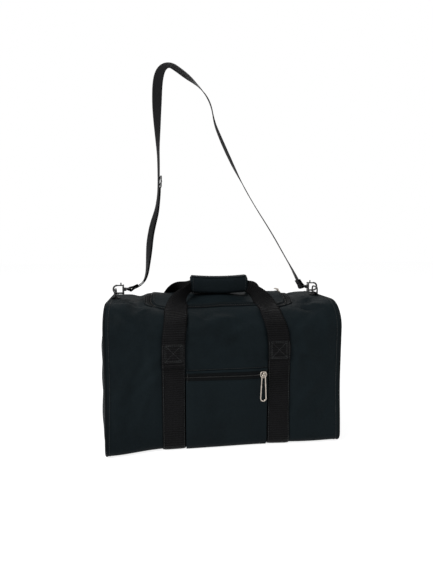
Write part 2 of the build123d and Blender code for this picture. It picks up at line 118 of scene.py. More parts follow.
# Padded wrap
GRIP_LOW, GRIP_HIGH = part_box("front_grip")
GRIP_HALF = GRIP_HIGH.x / MM + 0.8
GRIP_MIDDLE_Z = (GRIP_LOW.z + GRIP_HIGH.z) / 2 / MM - 4.5
GRIP_REACH = -GRIP_LOW.y / MM - 0.4
GRIP_TALL = (GRIP_HIGH.z - GRIP_LOW.z) / 2 / MM + 0.4
GRIP_SAG = 2.6
PARTING = 0.25

# Strap, in metres: points are sideways and up the plane that leans back from its swivels
STRAP_WIDTH = 0.025
STRAP_THICK = 0.0016
STRAP_LEAN = math.radians(12.0)
STRAP_AXIS_Z = 0.2615
LAYER_SHIFT = 0.0022
EYE_BAR_X = 0.1611
FOLD_REACH = 0.0155
FOLD_WRAP = 0.0028
FOLD_GAP = 0.00135
STRAP_FOLDS = {"left": (-0.14841, 0.00592), "right": (0.1541, 0.01212)}
STRAP_ROUTE = [
    (-0.1405, 0.0098), (-0.1325, 0.024), (-0.129, 0.056), (-0.125, 0.104), (-0.109, 0.160),
    (-0.107, 0.222), (-0.108, 0.290), (-0.109, 0.352), (-0.107, 0.404), (-0.099, 0.430),
    (-0.083, 0.438), (-0.066, 0.427), (-0.046, 0.411), (-0.020, 0.388), (-0.004, 0.360),
    (0.001, 0.322), (0.012, 0.292), (0.026, 0.258), (0.042, 0.222), (0.070, 0.166),
    (0.106, 0.106), (0.129, 0.062), (0.143, 0.036), (0.150, 0.021),
]
# How far the band is turned from edge-on, in degrees, at shares of its length
STRAP_TWIST = [
    (0.00, 4), (0.04, 14), (0.08, 27), (0.14, 28), (0.17, 15), (0.21, 9), (0.28, 12), (0.33, 30),
    (0.38, 48), (0.43, 55), (0.47, 58), (0.52, 55), (0.55, 32), (0.58, 15), (0.62, 8), (0.68, 3),
    (0.73, 6), (0.78, 22), (0.84, 19), (0.90, 17), (0.96, 18), (1.00, 5),
]

# Camera and lamps, in metres, radians and watts
CAMERA_PLACE = (-0.1047, -0.7355, 0.3459)
CAMERA_TURN = (math.pi / 2 - 0.1149, 0, -0.1365)
CAMERA_LENS = 24.96
LAMPS = [
    ("key", (-1.5, -0.9, 1.7), (0, 0, 0.15), 0.9, 44),
    ("fill", (1.6, -1.4, 0.9), (0, 0, 0.15), 1.4, 9),
    ("rim", (0.4, 1.6, 1.7), (0, 0, 0.25), 1.2, 10),
]
FLOOR_HALF = 6.0
FLOOR_GLOW = 1.32
FLOOR_GLOW_SHARE = 0.62
WORLD_LEVEL = 0.5

rng = np.random.default_rng(11)


# The bag's surface

def section_table():
    """The bag's section from the middle of its base, up the front, over the top and down the rear:
    straight runs joined by quarter circles, as distance, y, z and the outward normal. A straight
    steps from its start, square to its normal; a corner is its centre plus its radius along the normal."""
    base, side, top = HALF_DEPTH - BOTTOM_RADIUS, HEIGHT - BOTTOM_RADIUS - TOP_RADIUS, HALF_DEPTH - TOP_RADIUS
    rows = []
    at = 0.0
    for count, angle, radius, straight, y, z in (
            (80, 1.5, 0.0, base, 0.0, 0.0),
            (40, 1.5, BOTTOM_RADIUS, 0.0, -base, BOTTOM_RADIUS),
            (120, 1.0, 0.0, side, -HALF_DEPTH, BOTTOM_RADIUS),
            (60, 1.0, TOP_RADIUS, 0.0, -top, HEIGHT - TOP_RADIUS),
            (60, 0.5, 0.0, top, -top, HEIGHT)):
        t = np.linspace(0, 1, count)
        a = math.pi * (angle - (radius > 0) * t / 2)
        ny, nz = np.cos(a), np.sin(a)
        length = straight + radius * math.pi / 2
        run = np.stack([at + t * length, y + radius * ny + t * straight * nz,
                        z + radius * nz - t * straight * ny, ny, nz], 1)
        rows.append(run[:-1])
        at += length
    front = np.concatenate([*rows, run[-1:]])
    rear = front[::-1][1:] * [1, -1, 1, -1, 1]
    rear[:, 0] = 2 * front[-1, 0] - rear[:, 0]
    return np.concatenate([front, rear])


SECTION = section_table()
GIRTH = SECTION[-1, 0]
S_TOP = GIRTH / 2
S_FRONT_LOW = HALF_DEPTH - BOTTOM_RADIUS + BOTTOM_RADIUS * math.pi / 2
S_FRONT_TOP = S_FRONT_LOW + HEIGHT - BOTTOM_RADIUS - TOP_RADIUS


def s_front(z):
    """Distance round the section to a height on the front face."""
    return S_FRONT_LOW + z - BOTTOM_RADIUS


def smooth(t):
    """A step from 0 to 1, level at both ends: three t squared less two t cubed."""
    t = np.clip(t, 0, 1)
    return t * t * (3 - 2 * t)


def scatter_creases():
    """Seeded creases of slack cloth, zone by zone: middle, direction, half length, width and depth."""
    zones = [
        (14, (-185, -115), (130, 330), 80, 34, (24, 60), (5, 11), 1.9),
        (14, (115, 185), (130, 330), 100, 34, (24, 60), (5, 11), 1.9),
        (8, (-60, 60), (250, 335), 10, 35, (18, 45), (6, 12), 1.4),
        (7, (-170, -120), (325, 400), 60, 40, (14, 34), (4, 9), 1.8),
        (7, (120, 170), (325, 400), 120, 40, (14, 34), (4, 9), 1.8),
        (16, (-180, 180), (455, 720), 80, 60, (25, 60), (6, 12), 1.6),
    ]
    found = []
    for count, xs, ss, angle, spread, lengths, widths, depth in zones:
        for _ in range(count):
            found.append((rng.uniform(*xs), rng.uniform(*ss), math.radians(rng.normal(angle, spread)),
                          rng.uniform(*lengths), rng.uniform(*widths), depth * rng.uniform(0.5, 1.3)))
    return found


CREASES = scatter_creases()
WAVES = [(rng.uniform(0, TAU), rng.uniform(0, TAU), rng.uniform(55, 130)) for _ in range(9)]


def ripple(u, v):
    """Broad waves of slack cloth: a sum of sines, each along its own heading."""
    return sum(np.sin(TAU * (u * math.cos(heading) + v * math.sin(heading)) / size + phase)
               for phase, heading, size in WAVES)


def crease(u, v, u0, v0, angle, length, width, bow):
    """A bowed ridge with a furrow beside it: two bell curves across it, faded by one along it."""
    along = (u - u0) * math.cos(angle) + (v - v0) * math.sin(angle)
    beside = (v - v0) * math.cos(angle) - (u - u0) * math.sin(angle) + along ** 2 / bow
    ridge = np.exp(-(beside / width) ** 2) - 0.8 * np.exp(-((beside - 1.5 * width) / width) ** 2)
    return ridge * np.exp(-(along / length) ** 2)


def swell(x, s):
    """How far the cloth stands off its section: a full middle, seams held in at the ends, a notch beside
    the flap, broad waves and creases, and less of all of them under the handle webbing."""
    s = np.where(s > GIRTH, s - GIRTH, s)
    seam = 1 - np.abs(x / SEAM_X) ** 5
    up = smooth((np.minimum(s, GIRTH - s) - S_FRONT_LOW + 22) / 60)
    face = np.interp(s, [0, S_FRONT_LOW, 215, S_FRONT_TOP, S_TOP - 70, S_TOP - 40, S_TOP,
                         S_TOP + 40, GIRTH - 215, GIRTH - S_FRONT_LOW, GIRTH],
                     [0, 0.5, 6.0, 3.0, 0.5, 0.0, 2.5, 0.5, 6.5, 0.5, 0])
    top = smooth((122 - np.abs(s - S_TOP)) / 62)
    notch = 0.6 * np.exp(-((np.abs(x) - 147) / 10) ** 2) + 0.4 * np.exp(-((np.abs(x) - 150) / 22) ** 2)
    off = face * seam - 6.5 * top * notch + 0.5 * seam * up * ripple(x, s)
    for x0, s0, angle, length, width, depth in CREASES:
        off = off + 1.25 * depth * seam * up * crease(x, s, x0, s0, angle, length, width, 6 * length)
    for web in (-WEB_X, WEB_X):
        held = smooth(1.4 - np.abs(x - web) / (WEB_WIDTH * 0.62))
        off = off * (1 - 0.55 * held) - 1.0 * held * up
    return off


def slump(x, s, y, z):
    """How the empty bag settles: the top sinks behind its front shoulder, most under the handles, and the
    front corners spread forward at the foot, the left one more. All fade out as smooth steps."""
    sunk = smooth((s - S_FRONT_TOP + 8) / 50) * smooth((S_TOP + 28 - s) / 62) * smooth((176 - np.abs(x)) / 62)
    drawn = np.exp(-((np.abs(x) - WEB_X) / 24) ** 2)
    drop = sunk * (10.0 + 2.0 * drawn - 1.5 * np.cos(x / 60))
    low = smooth((120 - z) / 120) * smooth(-y / 90)
    left = low * smooth((-x - 108) / 84)
    right = low * smooth((x - 40) / 120)
    return right - 2.0 * left, -13.0 * left - 8.0 * right, -drop


def on_bag(x, s, lift):
    """Points of the bag's surface: x along the bag, s round its section, lift outward from the cloth."""
    x, s, lift = np.broadcast_arrays(np.asarray(x, float), np.asarray(s, float), np.asarray(lift, float))
    y, z, ny, nz = (np.interp(np.mod(s, GIRTH), SECTION[:, 0], SECTION[:, k]) for k in range(1, 5))
    out = swell(x, s) + lift
    dx, dy, dz = slump(x, np.mod(s, GIRTH), y, z)
    return np.stack([x + dx, y + ny * out + dy, z + nz * out + dz], -1)


# Meshes

def unit(rows):
    """Directions of length 1."""
    return rows / np.linalg.norm(rows, axis=-1, keepdims=True)


def heading_along(path):
    """The direction of travel at each point of a path."""
    return unit(np.gradient(path, axis=0))


def distance_along(path):
    """The distance travelled at each point of a path."""
    return np.concatenate([[0], np.cumsum(np.linalg.norm(np.diff(path, axis=0), axis=1))])


def new_object(name, data):
    """An object for a mesh, lamp, curve or camera, in the scene."""
    made = bpy.data.objects.new(name, data)
    bpy.context.scene.collection.objects.link(made)
    return made


@contextmanager
def editing(piece):
    """A piece's mesh, open for editing and then written back."""
    work = bmesh.new()
    work.from_mesh(piece.data)
    yield work
    work.to_mesh(piece.data)
    work.free()


def finish_mesh(name, points, faces, uv, material):
    """A mesh object from points in millimetres; uv holds one pair a face corner, in metres."""
    mesh = bpy.data.meshes.new(name)
    mesh.from_pydata(np.asarray(points, float) * MM, [], faces)
    if uv is not None:
        layer = mesh.uv_layers.new(name="cloth")
        layer.data.foreach_set("uv", np.asarray(uv, np.float32).ravel())
    mesh.polygons.foreach_set("use_smooth", np.ones(len(mesh.polygons), bool))
    mesh.materials.append(material)
    piece = new_object(name, mesh)
    return piece


def outward(piece):
    """Turns a closed piece's faces outward."""
    with editing(piece) as work:
        bmesh.ops.recalc_face_normals(work, faces=work.faces)
    return piece


def grid(name, points, material, ring=False, loop=False, caps=False, keep=None):
    """A surface over a grid of points. loop joins the last column to the first, ring the last row;
    caps closes both ends of a looped grid; keep is a mask of the faces to make."""
    rows, columns = points.shape[:2]
    i, j = np.meshgrid(np.arange(rows if ring else rows - 1), np.arange(columns if loop else columns - 1),
                       indexing="ij")
    if keep is not None:
        i, j = i[keep], j[keep]
    i, j = i.ravel(), j.ravel()
    iu = np.stack([i, i + 1, i + 1, i], 1)
    jv = np.stack([j, j, j + 1, j + 1], 1)
    faces = ((iu % rows) * columns + jv % columns).tolist()
    along = np.linalg.norm(np.diff(points, axis=0), axis=2).mean(1)
    beside = np.linalg.norm(np.diff(points, axis=1), axis=2).mean(0)
    u = np.concatenate([[0], np.cumsum(along)])
    v = np.concatenate([[0], np.cumsum(beside)])
    u = np.append(u, u[-1] + along[-1])
    v = np.append(v, v[-1] + beside[-1])
    uv = np.stack([u[iu], v[jv]], -1).reshape(-1, 2) * MM
    if caps:
        start = list(range(columns))[::-1]
        end = [(rows - 1) * columns + k for k in range(columns)]
        faces += [start, end]
        flat = np.stack([np.zeros(columns), v[:columns]], 1) * MM
        uv = np.concatenate([uv, flat[::-1], flat])
    piece = finish_mesh(name, points.reshape(-1, 3), faces, uv, material)
    return outward(piece) if caps or (loop and ring) else piece


def thicken(piece, thick, offset=-1.0):
    """Gives an open cloth its thickness, inward from the surface that shows, or outward at offset 1."""
    wall = piece.modifiers.new("wall", "SOLIDIFY")
    wall.thickness = thick * MM
    wall.offset = offset
    wall.use_even_offset = False
    return wall


def band_loop(width, thick, count=9, edge=6):
    """The outline of flat webbing, across and up: a flat band whose edges round off as a power curve."""
    a = np.linspace(-1, 1, count)
    drop = 0.5 * thick * np.abs(a) ** edge
    top = np.stack([a * width / 2, thick - drop], 1)
    low = np.stack([a * width / 2, drop], 1)[::-1][1:-1]
    return np.concatenate([top, low])


def circle(count):
    """Angles evenly round a circle."""
    return np.arange(count) * TAU / count


def round_loop(radius):
    """A circle's outline, across and up, standing on the surface."""
    a = circle(10)
    return np.stack([radius * np.cos(a), radius + radius * np.sin(a)], 1)


def spread_path(path, step):
    """A path resampled at even steps."""
    path = np.asarray(path, float)
    gone = distance_along(path)
    at = np.linspace(0, gone[-1], max(3, int(gone[-1] / step) + 1))
    return np.stack([np.interp(at, gone, path[:, k]) for k in range(path.shape[1])], 1)


def laid(name, path, outline, lift, material):
    """A strip or cord laid on the bag: its outline carried along a path of x and s."""
    way = heading_along(path)
    x = path[:, :1] - way[:, 1:] * outline[:, 0]
    s = path[:, 1:] + way[:, :1] * outline[:, 0]
    return grid(name, on_bag(x, s, lift + outline[:, 1]), material, loop=True, caps=True)


def frames_along(path, closed=False):
    """Two directions square to a path at each point, carried along it without twisting."""
    way = unit(np.roll(path, -1, 0) - np.roll(path, 1, 0)) if closed else heading_along(path)
    sides = [unit(np.cross(way[0], [0.31, 0.52, 0.79]))]
    for ahead in way[1:]:
        sides.append(unit(sides[-1] - ahead * (sides[-1] @ ahead)))
    side = np.array(sides)
    return side, np.cross(way, side)


def tube(name, path, radius, material, closed=False):
    """Round wire along a path: at each point, a circle in the plane square to it."""
    path = np.asarray(path, float)
    side, up = frames_along(path, closed)
    a = circle(12)
    points = path[:, None] + radius * (np.cos(a)[None, :, None] * side[:, None] +
                                       np.sin(a)[None, :, None] * up[:, None])
    return grid(name, points, material, ring=closed, loop=True, caps=not closed)


def capsules(name, centres, directions, length, radius, material):
    """Many short rods with rounded ends, one at each centre along its direction."""
    rows = np.array([(-1.0, 0.25), (-0.86, 0.85), (0.0, 1.0), (0.86, 0.85), (1.0, 0.25)])
    sides = 6
    k = np.arange(sides)
    a = circle(sides)
    way = unit(directions)
    guide = np.where(np.abs(way[:, 2:]) < 0.9, [[0.0, 0.0, 1.0]], [[1.0, 0.0, 0.0]])
    side = unit(np.cross(way, guide))
    up = np.cross(way, side)
    rim = np.cos(a)[None, :, None] * side[:, None] + np.sin(a)[None, :, None] * up[:, None]
    points = (centres[:, None, None] + way[:, None, None] * (rows[:, 0] * length / 2)[None, :, None, None] +
              rim[:, None] * (rows[:, 1] * radius)[None, :, None, None])
    one = len(rows) * sides
    ring = np.stack([k, (k + 1) % sides, (k + 1) % sides + sides, k + sides], 1)
    quads = ring + sides * np.arange(len(rows) - 1)[:, None, None]
    ends = np.stack([k[::-1], one - sides + k])
    start = one * np.arange(len(centres))[:, None, None]
    faces = [*(quads.reshape(1, -1, 4) + start).reshape(-1, 4).tolist(),
             *(ends + start).reshape(-1, sides).tolist()]
    return outward(finish_mesh(name, points.reshape(-1, 3), faces, None, material))


def stitching(name, rows, material, body, pitch=3.6, length=2.7):
    """Rows of stitches: each row is a path of points, with a short thread at every pitch."""
    centres, ways = [], []
    for row in rows:
        row = spread_path(row, pitch)
        centres.append((row[1:] + row[:-1]) / 2)
        ways.append(row[1:] - row[:-1])
    piece = capsules(name, np.concatenate(centres), np.concatenate(ways), length, THREAD_R, material)
    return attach(piece, body)


def row_on_bag(path, lift):
    """A row of points on the bag along a path of x and s, close enough together to follow its shape."""
    path = spread_path(path, 2.0)
    return on_bag(path[:, 0], path[:, 1], lift)


def superellipsoid(name, middle, size, power, material):
    """A rounded block: a sphere whose sines and cosines are raised to a power below 1."""
    def bend(v):
        return np.sign(v) * np.abs(v) ** power
    u = np.linspace(-math.pi / 2, math.pi / 2, 18)[:, None]
    v = circle(32)[None]
    points = np.stack([bend(np.cos(u)) * bend(np.cos(v)), bend(np.cos(u)) * bend(np.sin(v)),
                       bend(np.sin(u)) + 0 * v], -1)
    points = points * np.array(size) / 2 + np.array(middle)
    return grid(name, points[1:-1], material, loop=True, caps=True)


# Materials

def linear(code):
    """A colour written in sRGB hex, as linear light."""
    parts = [int(code[k:k + 2], 16) / 255 for k in (1, 3, 5)]
    return [(c / 12.92 if c <= 0.04045 else ((c + 0.055) / 1.055) ** 2.4) for c in parts] + [1.0]


def add(tree, kind, settings=None, inputs=None):
    """Adds a node with its settings, and its inputs as values or links."""
    node = tree.nodes.new(kind)
    for key, value in (settings or {}).items():
        setattr(node, key, value)
    for key, value in (inputs or {}).items():
        if isinstance(value, bpy.types.NodeSocket):
            tree.links.new(value, node.inputs[key])
        else:
            node.inputs[key].default_value = value
    return node


def start_material(name, rough, metal=0.0, sheen=0.0, level=0.035):
    """A material and its shader. Dull black cloth returns very little, so its specular level is low."""
    material = bpy.data.materials.new(name)
    material.use_nodes = True
    tree = material.node_tree
    shader = tree.nodes["Principled BSDF"]
    for socket, value in (("Roughness", rough), ("Metallic", metal), ("Sheen Weight", sheen),
                          ("Sheen Roughness", 0.45), ("Specular IOR Level", level)):
        shader.inputs[socket].default_value = value
    return material, tree, shader


def set_ramp(ramp, dark, light, low, high):
    """Runs a colour ramp from dark at low to light at high."""
    for stop, place, code in zip(ramp.color_ramp.elements, (low, high), (dark, light)):
        stop.position = place
        stop.color = linear(code)


def cloth_material(name, dark, light, pitch_mm, rough, sheen, depth_mm, ribs=False, crumple_mm=0.0,
                   twill=False, contrast=0.34):
    """Woven cloth on its own UV: threads over and under each other as squared sines. Webbing has a rib
    across it at every pitch of its length, broken by its lengthwise yarns. Over both lie a broad change
    of tone and a fine crumple."""
    material, tree, shader = start_material(name, rough, sheen=sheen)
    coord = add(tree, "ShaderNodeTexCoord")
    uv = add(tree, "ShaderNodeSeparateXYZ", inputs={0: coord.outputs["UV"]})
    waves = []
    for axis, share in ((0, 1.0), (1, 0.6 if ribs else 1.0)):
        turn = add(tree, "ShaderNodeMath", {"operation": "MULTIPLY"},
                   {0: uv.outputs[axis], 1: math.pi / (pitch_mm * MM * share)})
        if twill and axis == 0:
            lean = add(tree, "ShaderNodeMath", {"operation": "MULTIPLY"},
                       {0: uv.outputs[1], 1: 0.9 * math.pi / (pitch_mm * MM)})
            turn = add(tree, "ShaderNodeMath", {"operation": "ADD"}, {0: turn.outputs[0], 1: lean.outputs[0]})
        wave = add(tree, "ShaderNodeMath", {"operation": "SINE"}, {0: turn.outputs[0]})
        waves.append(add(tree, "ShaderNodeMath", {"operation": "MULTIPLY"},
                         {0: wave.outputs[0], 1: wave.outputs[0]}))
    if ribs:
        soft = add(tree, "ShaderNodeMath", {"operation": "MULTIPLY_ADD"},
                   {0: waves[1].outputs[0], 1: 0.5, 2: 0.5})
        weave = add(tree, "ShaderNodeMath", {"operation": "MULTIPLY"},
                    {0: waves[0].outputs[0], 1: soft.outputs[0]})
    else:
        weave = add(tree, "ShaderNodeMath", {"operation": "MAXIMUM"},
                    {0: waves[0].outputs[0], 1: waves[1].outputs[0]})
    tone = add(tree, "ShaderNodeTexNoise", inputs={"Vector": coord.outputs["Object"], "Scale": 14.0,
                                                   "Detail": 5.0, "Roughness": 0.62})
    grain = add(tree, "ShaderNodeTexNoise", inputs={"Vector": coord.outputs["Object"], "Scale": 620.0,
                                                    "Detail": 2.0})
    # The weave lightens the raised threads in the colour by contrast; on the handle webbing contrast is high,
    # so it paints highlights along the ribs.
    mixed = add(tree, "ShaderNodeMath", {"operation": "MULTIPLY_ADD"},
                {0: weave.outputs[0], 1: contrast, 2: tone.outputs["Fac"]})
    mixed = add(tree, "ShaderNodeMath", {"operation": "MULTIPLY_ADD"},
                {0: grain.outputs["Fac"], 1: 0.3, 2: mixed.outputs[0]})
    ramp = add(tree, "ShaderNodeValToRGB", inputs={0: mixed.outputs[0]})
    set_ramp(ramp, dark, light, 0.42, 1.0)
    tree.links.new(ramp.outputs[0], shader.inputs["Base Color"])
    shine = add(tree, "ShaderNodeMapRange", inputs={0: tone.outputs["Fac"], 1: 0.3, 2: 0.7,
                                                    3: rough - 0.07, 4: rough + 0.07})
    tree.links.new(shine.outputs[0], shader.inputs["Roughness"])
    last = add(tree, "ShaderNodeBump", inputs={"Strength": 0.8, "Distance": depth_mm * MM,
                                               "Height": weave.outputs[0]})
    if crumple_mm:
        crumple = add(tree, "ShaderNodeTexNoise", inputs={"Vector": coord.outputs["Object"], "Scale": 55.0,
                                                          "Detail": 3.0, "Distortion": 0.6})
        last = add(tree, "ShaderNodeBump", inputs={"Strength": 0.5, "Distance": crumple_mm * MM,
                                                   "Height": crumple.outputs["Fac"],
                                                   "Normal": last.outputs[0]})
    tree.links.new(last.outputs[0], shader.inputs["Normal"])
    return material


def hard_material(name, dark, light, rough, metal, level=0.5, grain_mm=0.6, depth_mm=0.02):
    """Cast or moulded hardware: an even finish with slight handling marks and a fine grain."""
    material, tree, shader = start_material(name, rough, metal=metal, level=level)
    coord = add(tree, "ShaderNodeTexCoord")
    marks = add(tree, "ShaderNodeTexNoise", inputs={"Vector": coord.outputs["Object"], "Scale": 140.0,
                                                    "Detail": 4.0, "Roughness": 0.6})
    ramp = add(tree, "ShaderNodeValToRGB", inputs={0: marks.outputs["Fac"]})
    set_ramp(ramp, dark, light, 0.35, 0.7)
    tree.links.new(ramp.outputs[0], shader.inputs["Base Color"])
    shine = add(tree, "ShaderNodeMapRange", inputs={0: marks.outputs["Fac"], 1: 0.3, 2: 0.7,
                                                    3: rough - 0.06, 4: rough + 0.08})
    tree.links.new(shine.outputs[0], shader.inputs["Roughness"])
    grain = add(tree, "ShaderNodeTexNoise", inputs={"Vector": coord.outputs["Object"],
                                                    "Scale": 1 / (grain_mm * MM), "Detail": 2.0})
    bump = add(tree, "ShaderNodeBump", inputs={"Strength": 0.35, "Distance": depth_mm * MM,
                                               "Height": grain.outputs["Fac"]})
    tree.links.new(bump.outputs[0], shader.inputs["Normal"])
    return material


# Coated woven nylon: close-woven, dull and nearly black, a little blue. Its 0.5 mm threads are drawn at 1.2 mm.
NYLON = cloth_material("coated_woven_nylon", "#070b0d", "#12191c", 1.2, 0.6, 0.003, 0.12, crumple_mm=2.2)
# Handle webbing: ribbed polypropylene, a neutral black. Its 2 mm ribs are drawn at 3.8 mm, and their
# crests are painted much lighter than the troughs: the weave plus a painted highlight along each rib.
WEBBING = cloth_material("ribbed_webbing", "#020202", "#141415", 3.8, 0.4, 0.002, 1.5, ribs=True, contrast=0.62)
# Strap webbing: the same yarn in a finer, tighter rib, drawn at 2.4 mm.
STRAP_WEB = cloth_material("strap_webbing", "#030303", "#171719", 2.4, 0.46, 0.003, 0.7, ribs=True,
                           contrast=0.5)
# Padded wrap: brushed knit over foam, softer than the shell.
WRAP = cloth_material("brushed_wrap_cloth", "#070a0c", "#12181b", 1.0, 0.72, 0.008, 0.08, crumple_mm=1.4)
# Zip tape: fine twill.
TAPE = cloth_material("zip_tape_twill", "#050607", "#0f1112", 0.9, 0.66, 0.004, 0.08, twill=True)
# Bound piping: bias-cut nylon over a cord.
BINDING = cloth_material("bias_binding", "#07090a", "#131719", 1.0, 0.5, 0.004, 0.08, twill=True)
# Bonded polyester thread, slightly shiny.
THREAD = hard_material("bonded_thread", "#0d0e0f", "#2a2d2e", 0.45, 0.0, level=0.3, grain_mm=0.3,
                       depth_mm=0.05)
# Moulded nylon coil: smooth, with a soft highlight.
COIL = hard_material("moulded_nylon_coil", "#08090a", "#141516", 0.38, 0.0, level=0.3)
# Zinc castings in black enamel: smooth and semi-gloss, worn a little at the touch points.
ENAMEL = hard_material("black_enamelled_zinc", "#0b0c0c", "#1b1c1d", 0.3, 0.0, level=0.6)
# Satin nickel wire: a warm pale metal.
NICKEL = hard_material("satin_nickel", "#a39a90", "#c4bbb1", 0.32, 1.0)
# Moulded polypropylene board.
BOARD = hard_material("moulded_polypropylene", "#141516", "#222426", 0.5, 0.0, grain_mm=1.5, depth_mm=0.1)


# Shell

def flap_distance(x, y, grow):
    """Distance outside the flap's outline, grown by a margin: a rectangle with rounded front corners."""
    half = FLAP_HALF + grow
    front = FLAP_FRONT - grow
    rear = FLAP_REAR + 1.5
    corner = np.where(y < (front + rear) / 2, FLAP_CORNER + grow, 5.0)
    dx = np.abs(x) - half + corner
    dy = np.abs(y - (front + rear) / 2) - (rear - front) / 2 + corner
    outside = np.hypot(np.maximum(dx, 0), np.maximum(dy, 0))
    return outside + np.minimum(np.maximum(dx, dy), 0) - corner


def shell_cloth():
    """The wrapped panel: front, base, rear and top. Faces under the flap are left out, and the points
    round the hole step down the slope of the flap's distance until they lie on its rim."""
    x = np.linspace(-SEAM_X - 1, SEAM_X + 1, 126)
    s = np.arange(ROUND_STEPS) * GIRTH / ROUND_STEPS
    X, S = np.meshgrid(x, s, indexing="ij")
    Y = S - S_TOP
    hole = flap_distance(X, Y, ZIP_GAP)
    beside = np.roll(hole, -1, 1)
    keep = hole[:-1] + hole[1:] + beside[:-1] + beside[1:] > 0
    step = 0.5
    gx = (flap_distance(X + step, Y, ZIP_GAP) - flap_distance(X - step, Y, ZIP_GAP)) / (2 * step)
    gy = (flap_distance(X, Y + step, ZIP_GAP) - flap_distance(X, Y - step, ZIP_GAP)) / (2 * step)
    size = np.maximum(np.hypot(gx, gy), 0.5)
    kept = np.zeros(X.shape, int)
    for turn in (0, 1):
        kept[:-1] += np.roll(keep, turn, 1)
        kept[1:] += np.roll(keep, turn, 1)
    rim = (np.abs(hole) < 3.2) & (kept > 0) & (kept < 4)
    rim[[0, -1]] = False
    X = np.where(rim, X - hole * gx / size, X)
    S = np.where(rim, S - hole * gy / size, S)
    piece = grid("shell_cloth", on_bag(X, S, 0.0), NYLON, loop=True, keep=keep)
    with editing(piece) as work:
        bmesh.ops.delete(work, geom=[v for v in work.verts if not v.link_faces], context="VERTS")
    thicken(piece, CLOTH)
    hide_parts("body_panel")
    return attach(piece, "bag")


def end_cloth(side, sign):
    """An end panel: the section drawn in to a pole in rings, swelling outward like a slack drum."""
    rings = np.linspace(1, 0.02, 34)[:, None]
    s = np.arange(ROUND_STEPS) * GIRTH / ROUND_STEPS
    edge = on_bag(SEAM_X - 0.5, s, -0.6) * [0, 1, 1]
    middle = np.array([0.0, 0.0, HEIGHT * 0.47])
    flat = middle + rings[..., None] * (edge - middle)
    y, z = flat[..., 1], flat[..., 2]
    full = (1 - rings ** 4) ** 0.8
    bulge = full * (13.0 + 0.7 * ripple(y, z))
    for y0, z0, angle, length in [(-60, 190, 50, 40), (50, 60, 120, 45), (-20, 110, 80, 60),
                                  (62, 160, 100, 45), (-65, 70, 70, 40), (10, 205, 10, 40)]:
        bulge = bulge + 1.5 * full * crease(y, z, y0, z0, math.radians(angle), length, 8, 200)
    points = np.stack([SEAM_X - 0.4 + bulge, y, z], -1) * [sign, 1, 1]
    piece = grid(f"{side}_end_cloth", points, NYLON, loop=True)
    with editing(piece) as work:
        pole = [e for e in work.edges if e.is_boundary and all(abs(v.co.y) < 0.01 for v in e.verts)]
        bmesh.ops.holes_fill(work, edges=pole, sides=0)
        for face in work.faces:
            face.normal_update()
        if sum(f.normal.x * f.calc_area() for f in work.faces) * sign < 0:
            bmesh.ops.reverse_faces(work, faces=work.faces)
    thicken(piece, CLOTH)
    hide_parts(f"{side}_end_panel")
    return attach(piece, "bag")


def end_piping(side, sign):
    """Corded binding round the end seam, and the row of stitches beside it."""
    s = np.arange(300) * GIRTH / 300
    path = on_bag(sign * (SEAM_X - 0.2), s, -1.4)
    path[:, 0] = sign * (SEAM_X + 1.6)
    path[:, 2] = np.maximum(path[:, 2], PIPING_R)
    piece = tube(f"{side}_piping_cord", path, PIPING_R, BINDING, closed=True)
    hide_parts(f"{side}_piping")
    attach(piece, "bag")
    lip = on_bag(sign * (SEAM_X - 5.0), s, 0.45)
    lip[:, 2] = np.maximum(lip[:, 2], 0.5)
    stitching(f"{side}_seam_stitching", [np.concatenate([lip, lip[:1]])], THREAD, "bag")


# Top flap

def flap_cloth():
    """The flap, a soft panel that fills the opening and runs a little past its rear edge: rows across the
    bag, as wide as the rounded outline at their place, puffed up in the middle."""
    y = np.linspace(FLAP_FRONT, FLAP_REAR + 4.5, 46)[:, None]
    u = np.linspace(-1, 1, 90)[None]
    near = np.clip(FLAP_FRONT + FLAP_CORNER - y, 0, FLAP_CORNER)
    half = FLAP_HALF - FLAP_CORNER + np.sqrt(FLAP_CORNER ** 2 - near ** 2)
    x = u * half
    deep = (y - FLAP_FRONT) / (FLAP_REAR - FLAP_FRONT)
    puff = (1 - np.abs(u) ** 4) * (4.4 * np.clip(4 * deep * (1.12 - deep), 0, 1) +
                                   0.5 * np.sin(x / 17.0 + y / 9.0) * np.clip(deep, 0, 1))
    piece = grid("flap_cloth", on_bag(x, S_TOP + y + 0 * x, 0.3 + puff), NYLON)
    wall = thicken(piece, 1.8)
    bpy.context.view_layer.objects.active = piece
    with bpy.context.temp_override(object=piece, active_object=piece):
        bpy.ops.object.modifier_apply(modifier=wall.name)
    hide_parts("lid_panel")
    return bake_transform(piece)


def flap_path(inset, rear):
    """A U round the flap, inside its outline by inset: two straight sides and quarter circles."""
    half = FLAP_HALF - inset
    front = FLAP_FRONT + inset
    radius = FLAP_CORNER - inset
    a = np.linspace(0, math.pi / 2, 14)
    left = np.stack([-half + radius - radius * np.cos(a), front + radius - radius * np.sin(a)], 1)
    right = left[::-1] * [-1, 1]
    plan = np.concatenate([[(-half, rear)], left, right, [(half, rear)]])
    plan[:, 1] += S_TOP
    return spread_path(plan, 2.5)


